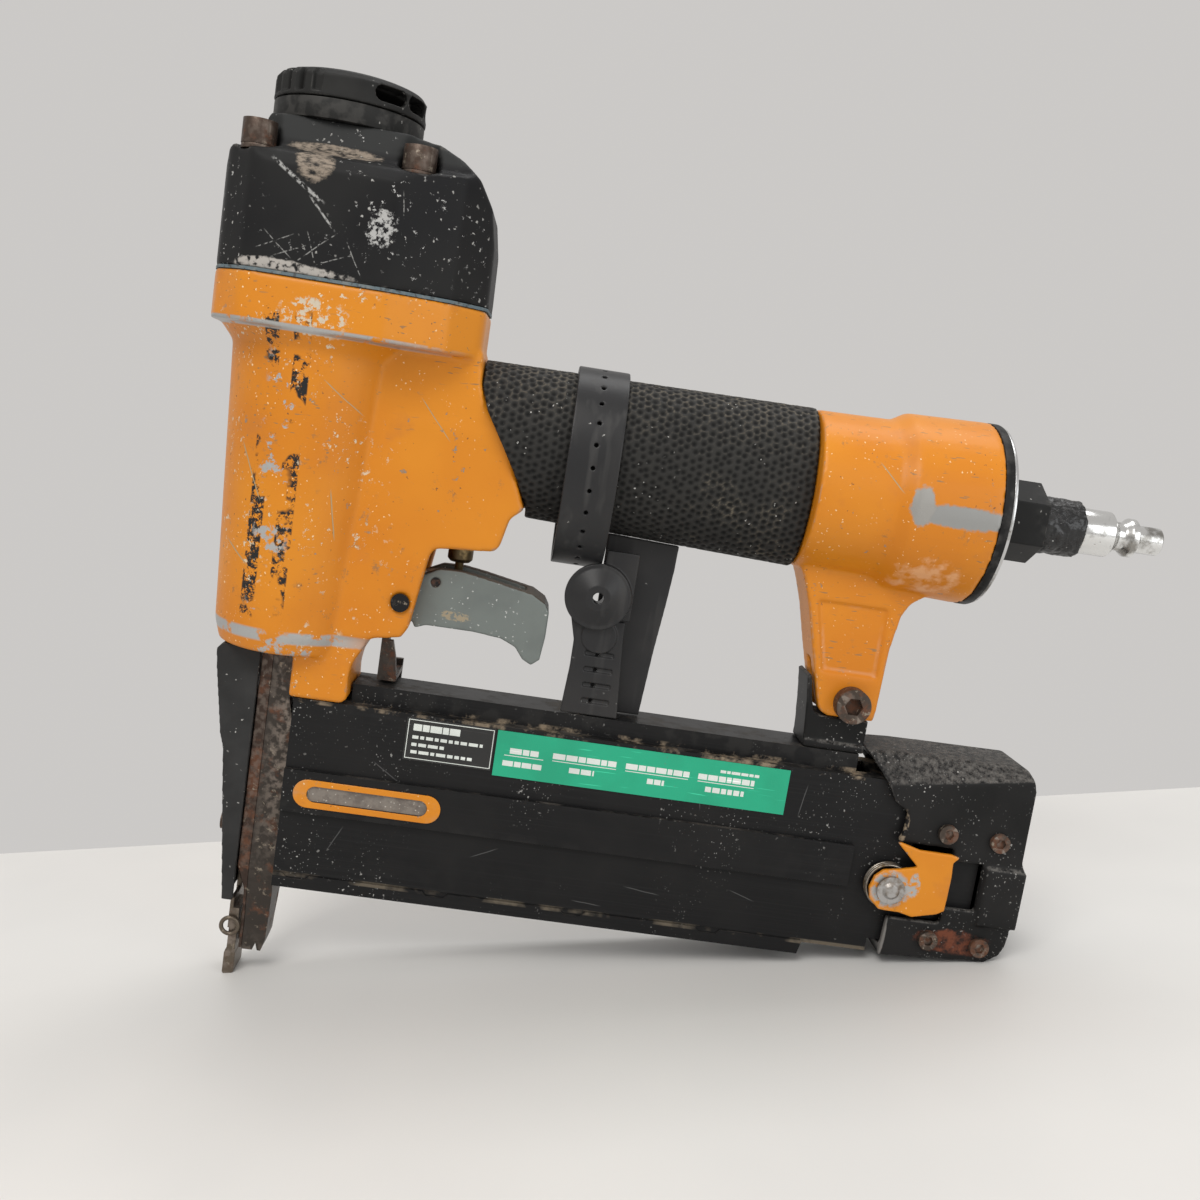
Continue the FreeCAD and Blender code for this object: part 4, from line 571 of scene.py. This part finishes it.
def gasket_fibre(name):
    """Blue-grey pressed fibre."""
    look = Look(name, (0.105, 0.145, 0.165), 0.75)
    look.layer(look.step(look.noise(300, 4, 0.7), 0.5, 0.6), (0.17, 0.19, 0.19), 0.8)
    look.layer(look.step(look.noise(900, 3), 0.55, 0.65), (0.06, 0.07, 0.075), 0.8)
    look.raise_by(look.noise(1500, 3), 0.3)
    return look.finish(bump=0.05)


LOOKS = {name: build(name, *settings) for name, build, *settings in (
    ("housing_orange", orange_paint, True),
    ("trim_orange", orange_paint),
    ("cap_black", cap_black),
    ("plastic_dark", moulded_plastic),
    ("cover_black", moulded_plastic, (0.026, 0.026, 0.026), 0.46),
    ("end_black", moulded_plastic, NEAR_BLACK, 0.42),
    ("magazine_black", magazine_black),
    ("casting_black", casting_black),
    ("grip_rubber", grip_rubber),
    ("strap_rubber", strap_rubber),
    ("trigger_grey", trigger_grey),
    ("screw_steel", rusty_steel, (0.075, 0.052, 0.040), 0.45),
    ("rusty_screw", rusty_steel, (0.065, 0.05, 0.04), 0.7, 0.5),
    ("nose_steel", rusty_steel, (0.050, 0.042, 0.036), 0.35),
    ("guide_steel", rusty_steel, (0.055, 0.036, 0.028), 0.7, 0.5),
    ("contact_steel", rusty_steel, (0.13, 0.105, 0.08), 0.25, 0.36),
    ("pin_black", rusty_steel, (0.016, 0.016, 0.017), 0.1, 0.35),
    ("zinc", bright_metal, (0.72, 0.72, 0.71), 0.18),
    ("rim_silver", bright_metal, (0.55, 0.55, 0.55), 0.3),
    ("brass", bright_metal, (0.40, 0.29, 0.14), 0.34, (0.12, 0.09, 0.05), 0.8),
    ("rivet_zinc", bright_metal, (0.45, 0.44, 0.43), 0.42, (0.22, 0.18, 0.14), 0.7),
    ("spring_wire", bright_metal, (0.30, 0.27, 0.23), 0.35, (0.14, 0.10, 0.06), 0.7),
    ("aluminium", bright_metal, (0.62, 0.63, 0.64), 0.3),
    ("acetal", moulded_plastic, (0.52, 0.50, 0.45), 0.4),
    ("seal", moulded_plastic, NEAR_BLACK, 0.5),
    ("label_black", foil_label, (0.013, 0.013, 0.013), (0.12, 0.12, 0.11)),
    ("label_green", foil_label, (0.007, 0.376, 0.205), (0.10, 0.22, 0.15)),
    ("print_white", foil_label, (0.70, 0.74, 0.70), (0.35, 0.40, 0.36)),
    ("smoked_window", smoked_window),
    ("sealant", sealant_black),
    ("gasket_fibre", gasket_fibre),
)}


# ---------------------------------------------------------------- mesh helpers
def dress(piece, look):
    """Gives a piece one look."""
    piece.data.materials.clear()
    piece.data.materials.append(LOOKS[look])


def own_mesh(piece):
    """Applies every modifier of a piece."""
    graph = bpy.context.evaluated_depsgraph_get()
    mesh = bpy.data.meshes.new_from_object(piece.evaluated_get(graph))
    piece.modifiers.clear()
    piece.data = mesh
    return piece


def weld(piece):
    """Joins vertices that lie on each other, as a modifier."""
    piece.modifiers.new("weld", "WELD").merge_threshold = WELD


def copy_of(node, name):
    """A new piece with the closed mesh of a CAD node."""
    piece = bpy.data.objects.new(name, nodes[node].data.copy())
    scene.collection.objects.link(piece)
    weld(piece)
    return own_mesh(piece)


def cast(piece, voxel, passes):
    """Rounds every edge and inner corner, as a mould does; voxel is in millimetres."""
    remesh = piece.modifiers.new("remesh", "REMESH")
    remesh.mode = "VOXEL"
    remesh.voxel_size = voxel * MM
    smooth = piece.modifiers.new("smooth", "SMOOTH")
    smooth.factor = 0.5
    smooth.iterations = passes
    own_mesh(piece)
    piece.data.polygons.foreach_set("use_smooth", [True] * len(piece.data.polygons))
    return piece


def stand_for(piece, node, look):
    """Puts a finer piece in place of its CAD node, on the same body."""
    dress(piece, look)
    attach(piece, nodes[node]["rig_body"])
    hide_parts(node)


def round_node(node, look, width):
    """Keeps a CAD node, with its sharp edges broken and a better look."""
    piece = nodes[node]
    weld(piece)
    bevel = piece.modifiers.new("bevel", "BEVEL")
    bevel.width = width * MM
    bevel.segments = 2
    bevel.limit_method = "ANGLE"
    bevel.angle_limit = math.radians(28)
    dress(piece, look)


def cut_away(piece, cutters):
    """Cuts closed meshes out of a piece."""
    tool = bpy.data.objects.new("cutter", cutters)
    scene.collection.objects.link(tool)
    boolean = piece.modifiers.new("cut", "BOOLEAN")
    boolean.operation = "DIFFERENCE"
    boolean.solver = "EXACT"
    boolean.object = tool
    own_mesh(piece)
    bpy.data.objects.remove(tool)
    return piece


def mesh_of(build):
    """A mesh from a function that fills a bmesh."""
    shape = bmesh.new()
    build(shape)
    mesh = bpy.data.meshes.new("part")
    shape.to_mesh(mesh)
    shape.free()
    return mesh


def add_rod(shape, centre, direction, radius, length):
    """A round rod, in millimetres."""
    turn = Vector(direction).to_track_quat("Z", "Y").to_matrix().to_4x4()
    bmesh.ops.create_cone(shape, cap_ends=True, segments=14, radius1=radius * MM, radius2=radius * MM,
                          depth=length * MM, matrix=Matrix.Translation(Vector(centre) * MM) @ turn)


def add_block(shape, low, high):
    """A block between two corners, in millimetres."""
    low, high = Vector(low) * MM, Vector(high) * MM
    size = Matrix.Diagonal((*(high - low), 1))
    bmesh.ops.create_cube(shape, size=1.0, matrix=Matrix.Translation((low + high) / 2) @ size)


# ---------------------------------------------------------------- pieces
def make_castings():
    """Cast, moulded and stamped pieces, with the size of the voxels and the passes of smoothing for each."""
    for node, name, voxel, passes, look, slot in (
        ("housing", "housing_casting", 0.75, 5, "housing_orange", "housing_paint"),
        ("cylinder_cap", "cap_casting", 0.7, 5, "cap_black", "cap_paint"),
        ("magazine_end_casting", "end_casting_shell", 0.55, 4, "casting_black", "magazine_black"),
        ("trigger", "trigger_moulding", 0.4, 6, "trigger_grey", "trigger_plastic"),
        ("nose_cover", "nose_cover_shell", 0.4, 4, "cover_black", "nose_cover_steel"),
        ("exhaust_deflector", "deflector_moulding", 0.28, 4, "plastic_dark", "deflector_plastic"),
        ("latch_lever", "latch_stamping", 0.28, 4, "trim_orange", "window_orange"),
        ("rear_bracket", "bracket_forging", 0.45, 4, "casting_black", "magazine_black"),
    ):
        piece = cast(copy_of(node, name), voxel, passes)
        if node == "exhaust_deflector":
            press_flutes(piece)
        if node == "housing":
            press_leg_panel(piece)
        stand_for(piece, node, look)


def press_flutes(piece):
    """Upright hollows round the front half of the deflector, which open out through its top edge."""
    first, last, pitch = 148, 262, 14.0    # degrees round the axis
    skin, plain_foot = 3.2 * MM, 1.0 * MM  # outer layer that is pressed, and height left plain
    deepest = 1.25 * MM
    low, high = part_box("exhaust_deflector")
    inner = (high.y - low.y) / 2 - skin
    for vertex in piece.data.vertices:
        x, y, z = vertex.co
        reach = math.hypot(x, y)
        turn = math.degrees(math.atan2(y, x)) % 360
        if reach < inner or z < low.z + plain_foot or not first - 2 < turn < last:
            continue
        wave = math.cos(math.radians((turn - first) / pitch * 360))
        run_in = min(1.0, (z - low.z - plain_foot) / (0.5 * MM))
        share = min(1.0, max(0.0, -wave * 1.9 + 0.35)) * run_in
        depth = min(deepest, max(0.0, reach - inner) * 0.6) * share
        vertex.co.x -= x / reach * depth
        vertex.co.y -= y / reach * depth


def press_leg_panel(piece):
    """A crisp hollow panel in both sides of the rear leg, where the mould's rounding left a faint one."""
    corners = ((144.6, 132.6), (149.2, 112.9), (164.8, 112.9), (164.5, 132.6))  # x and z
    floor, slant = 6.75, 0.7   # the panel's floor in y, and the width of its sloping edge
    sides = list(zip(corners, corners[1:] + corners[:1]))
    for vertex in piece.data.vertices:
        x, y, z = (value / MM for value in vertex.co)
        if not (142 < x < 167 and 111 < z < 134.5 and 5.8 < abs(y) < 8.6):
            continue
        inside = min(((x1 - x0) * (z - z0) - (z1 - z0) * (x - x0)) / math.hypot(x1 - x0, z1 - z0)
                     for (x0, z0), (x1, z1) in sides)
        share = min(1.0, max(0.0, (inside + 0.1) / slant))
        if share > 0:
            pressed = abs(y) + (floor - abs(y)) * share
            vertex.co.y = math.copysign(min(abs(y), pressed), y) * MM


def dimple_centres(pitch, around, radius):
    """Uneven rows of points on the unrolled sleeve, and the tree that finds the nearest of them."""
    row_step, jitter = pitch * 0.87, 0.42
    start, length, overlap = 42, 100, 3
    rows = int(length / row_step)
    tree = kdtree.KDTree(rows * (around + 2 * overlap))
    count = 0
    for row in range(rows):
        for step in range(-overlap, around + overlap):
            key = random.Random(row * 1009 + step % around)
            x = start + row * row_step + key.uniform(-jitter, jitter)
            arc = (step + (row % 2) / 2) * 2 * math.pi * radius / around + key.uniform(-jitter, jitter)
            tree.insert((x, arc, 0), count)
            count += 1
    tree.balance()
    return tree


def make_grip():
    """The rubber sleeve, with its net of small dimples."""
    piece = cast(copy_of("grip_sleeve", "grip_skin"), 0.42, 3)
    radius = 18.9
    pit_radius, pit_depth = 0.95, 0.30
    ridge_width, ridge_height = 0.55, 0.06
    tree = dimple_centres(2.25, 53, radius)
    low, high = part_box("grip_sleeve")
    middle = (low.z + high.z) / 2 / MM
    mesh = piece.data
    total = len(mesh.vertices)
    place = np.empty(total * 3, np.float32)
    mesh.vertices.foreach_get("co", place)
    place = place.reshape(-1, 3)
    normal = np.array([v.normal for v in mesh.vertices])
    pits, ridges = np.zeros(total, np.float32), np.zeros(total, np.float32)
    for i in range(total):
        x, y, z = place[i] / MM
        outward = normal[i][1] * y + normal[i][2] * (z - middle)
        if outward < 6 or math.hypot(y, z - middle) < 15.5:   # ends and inside stay smooth
            continue
        arc = (math.atan2(z - middle, y) + math.pi) * radius
        near = tree.find_n((x, arc, 0), 2)
        first, second = near[0][2], near[1][2]
        pits[i] = pit = max(0.0, 1 - (first / pit_radius) ** 2)
        ridges[i] = ridge = max(0.0, 1 - (second - first) / ridge_width)
        place[i] += normal[i] * (ridge * ridge_height - pit * pit_depth) * MM
    mesh.vertices.foreach_set("co", place.ravel())
    for name, values in (("pit", pits), ("ridge", ridges)):
        mesh.attributes.new(name, "FLOAT", "POINT").data.foreach_set("value", values)
    stand_for(piece, "grip_sleeve", "grip_rubber")


def make_strap():
    """The hanging strap: a loop with pin holes, a dished button, and a laddered tail."""
    low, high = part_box("strap_loop")
    middle = (low + high) / 2 / MM
    half_wide, half_high = (high.y - low.y) / 2 / MM, (high.z - low.z) / 2 / MM
    hole_radius, hole_length, hole_step = 0.62, 7, 13.0

    def pin_holes(shape):
        for k in range(27):
            angle = math.radians(-82 + k * hole_step)
            y, z = math.cos(angle) * half_wide, math.sin(angle) * half_high
            add_rod(shape, (middle.x, middle.y + y, middle.z + z), (0, y / half_wide ** 2, z / half_high ** 2),
                    hole_radius, hole_length)

    loop = cut_away(copy_of("strap_loop", "strap_band"), mesh_of(pin_holes))
    stand_for(cast(loop, 0.27, 3), "strap_loop", "strap_rubber")
    for node, name in (
        ("strap_buckle", "strap_button"), ("strap_tail", "strap_ladder"), ("strap_back_band", "strap_rear_band"),
    ):
        stand_for(cast(copy_of(node, name), 0.27, 4), node, "strap_rubber")


def make_nipple():
    """The pipe nipple under its lumpy coat of sealant."""
    piece = cast(copy_of("inlet_nipple", "sealed_nipple_coat"), 0.32, 3)
    lumps_per_metre, lump_height = 420, 0.34
    for vertex in piece.data.vertices:
        lump = noise.fractal(vertex.co * lumps_per_metre, 0.9, 2.1, 3) * lump_height
        vertex.co += vertex.normal * lump * MM
    stand_for(piece, "inlet_nipple", "sealant")


def printed_bar(shape, face, low, high):
    """One thin raised bar on a label, between two places (x, z)."""
    sunk, proud = 0.03, 0.02
    add_block(shape, (low[0], face - sunk, low[1]), (high[0], face + proud, high[1]))


def printed_rows(shape, face, rows):
    """Rows of small plain bars that stand for print: (x from, x to, z, height, gap between bars)."""
    for start, end, z, tall, gap in rows:
        x = start
        while x < end - 0.3:
            width = min(print_widths.uniform(1.2, 3.4) * (tall / 1.3) ** 0.5, end - x)
            printed_bar(shape, face, (x, z), (x + width, z + tall))
            x += width + gap


def printed_frame(shape, face, low, high, line):
    """A thin printed frame."""
    (x0, z0), (x1, z1) = low, high
    for a, b in (((x0, z0), (x1, z0 + line)), ((x0, z1 - line), (x1, z1)),
                 ((x0, z0 + line), (x0 + line, z1 - line)), ((x1 - line, z0 + line), (x1, z1 - line))):
        printed_bar(shape, face, a, b)


def make_prints():
    """Plain print on both labels.

    A row is x from, x to (from the rear edge if negative), depth below the top edge, height and gap.
    """
    for node, name, framed, slot, rows in (
        ("maker_label", "maker_print", True, "label_black", (
            (2, 15, 3.6, 1.9, 0.25), (2, -3, 5.9, 0.9, 0.5), (2, 11, 8.0, 0.9, 0.5), (2, -5.5, 10.1, 0.9, 0.5))),
        ("data_label", "data_print", False, "label_green", (
            (4, 12, 6.2, 1.6, 0.3), (2.6, 13.5, 6.9, 0.22, 0.0), (2.4, 13.4, 9.8, 1.5, 0.3),
            (16, 34, 6.0, 1.6, 0.3), (16, 34, 6.7, 0.22, 0.0), (21, 28, 9.4, 1.5, 0.4),
            (36.5, 54.5, 6.0, 1.6, 0.3), (36.5, 54.5, 6.7, 0.22, 0.0), (43, 47.8, 9.4, 1.5, 0.3),
            (57, 73, 6.0, 1.6, 0.3), (57, 73, 6.7, 0.22, 0.0), (59.5, 70.5, 9.4, 1.5, 0.4),
            (63, 74, 3.4, 0.8, 0.3))),
    ):
        low, high = (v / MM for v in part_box(node))
        placed = [(low.x + start, (high.x if end < 0 else low.x) + end, high.z - depth, tall, gap)
                  for start, end, depth, tall, gap in rows]

        def build(shape):
            printed_rows(shape, low.y, placed)
            if framed:
                printed_frame(shape, low.y, (low.x + 0.5, low.z + 0.5), (high.x - 0.3, high.z - 0.5), 0.2)

        piece = bpy.data.objects.new(name, mesh_of(build))
        scene.collection.objects.link(piece)
        dress(piece, "print_white")
        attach(piece, nodes[node]["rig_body"])


def dress_nodes():
    """Looks for the CAD nodes that stay as they are, with the width of their bevels in millimetres."""
    for look, width, names in (
        ("screw_steel", 0.2, ("cap_screws", "cap_lock_washers", "deflector_screw", "nose_screws",
                              "nose_cover_screw")),
        ("rusty_screw", 0.2, ("bracket_screw", "bracket_nut", "end_casting_screws")),
        ("plastic_dark", 0.3, ("deflector_base",)),
        ("nose_steel", 0.3, ("nosepiece", "safety_link")),
        ("guide_steel", 0.25, ("driver_guide",)),
        ("contact_steel", 0.2, ("work_contact",)),
        ("magazine_black", 0.3, ("fixed_magazine", "moving_magazine")),
        ("pin_black", 0.25, ("trigger_pivot_pin", "rocker_pin")),
        ("end_black", 0.3, ("end_cap",)),
        ("rim_silver", 0.15, ("end_cap_rim",)),
        ("zinc", 0.15, ("air_plug",)),
        ("brass", 0.2, ("trigger_valve_body", "valve_stem")),
        ("trim_orange", 0.15, ("window_frame",)),
        ("smoked_window", 0.05, ("window_insert",)),
        ("rivet_zinc", 0.25, ("latch_rivet",)),
        ("aluminium", 0.2, ("cylinder_sleeve", "piston")),
        ("nose_steel", 0.1, ("driver_blade", "brad_pusher")),
        ("acetal", 0.2, ("head_valve", "trigger_rocker")),
        ("gasket_fibre", 0.1, ("cap_gasket",)),
        ("label_black", 0.03, ("maker_label",)),
        ("label_green", 0.03, ("data_label",)),
    ):
        for name in names:
            round_node(name, look, width)
    for look, names in (
        ("spring_wire", ("latch_spring", "feed_spring")),
        ("contact_steel", ("contact_wire_loop",)),
        ("seal", ("sleeve_seal_rings", "piston_ring", "head_valve_ring", "end_cap_ring", "piston_bumper")),
    ):
        for name in names:
            dress(nodes[name], look)


def make_springs():
    """Coil springs, each a copy of its CAD node with a mesh of its own."""
    for node, joint, travel in (
        ("head_valve_spring", "head_valve_lift", 3.0),
        ("valve_spring", "stem_travel", 1.9),
        ("safety_spring", "contact_travel", 6.0),
    ):
        piece = copy_of(node, node + "_coil")
        stand_for(piece, node, "spring_wire")
        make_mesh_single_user(piece)


add_camera()
add_floor()
add_lights()
dress_nodes()
make_castings()
make_grip()
make_springs()
make_strap()
make_nipple()
make_prints()

scene.view_settings.view_transform = "Standard"
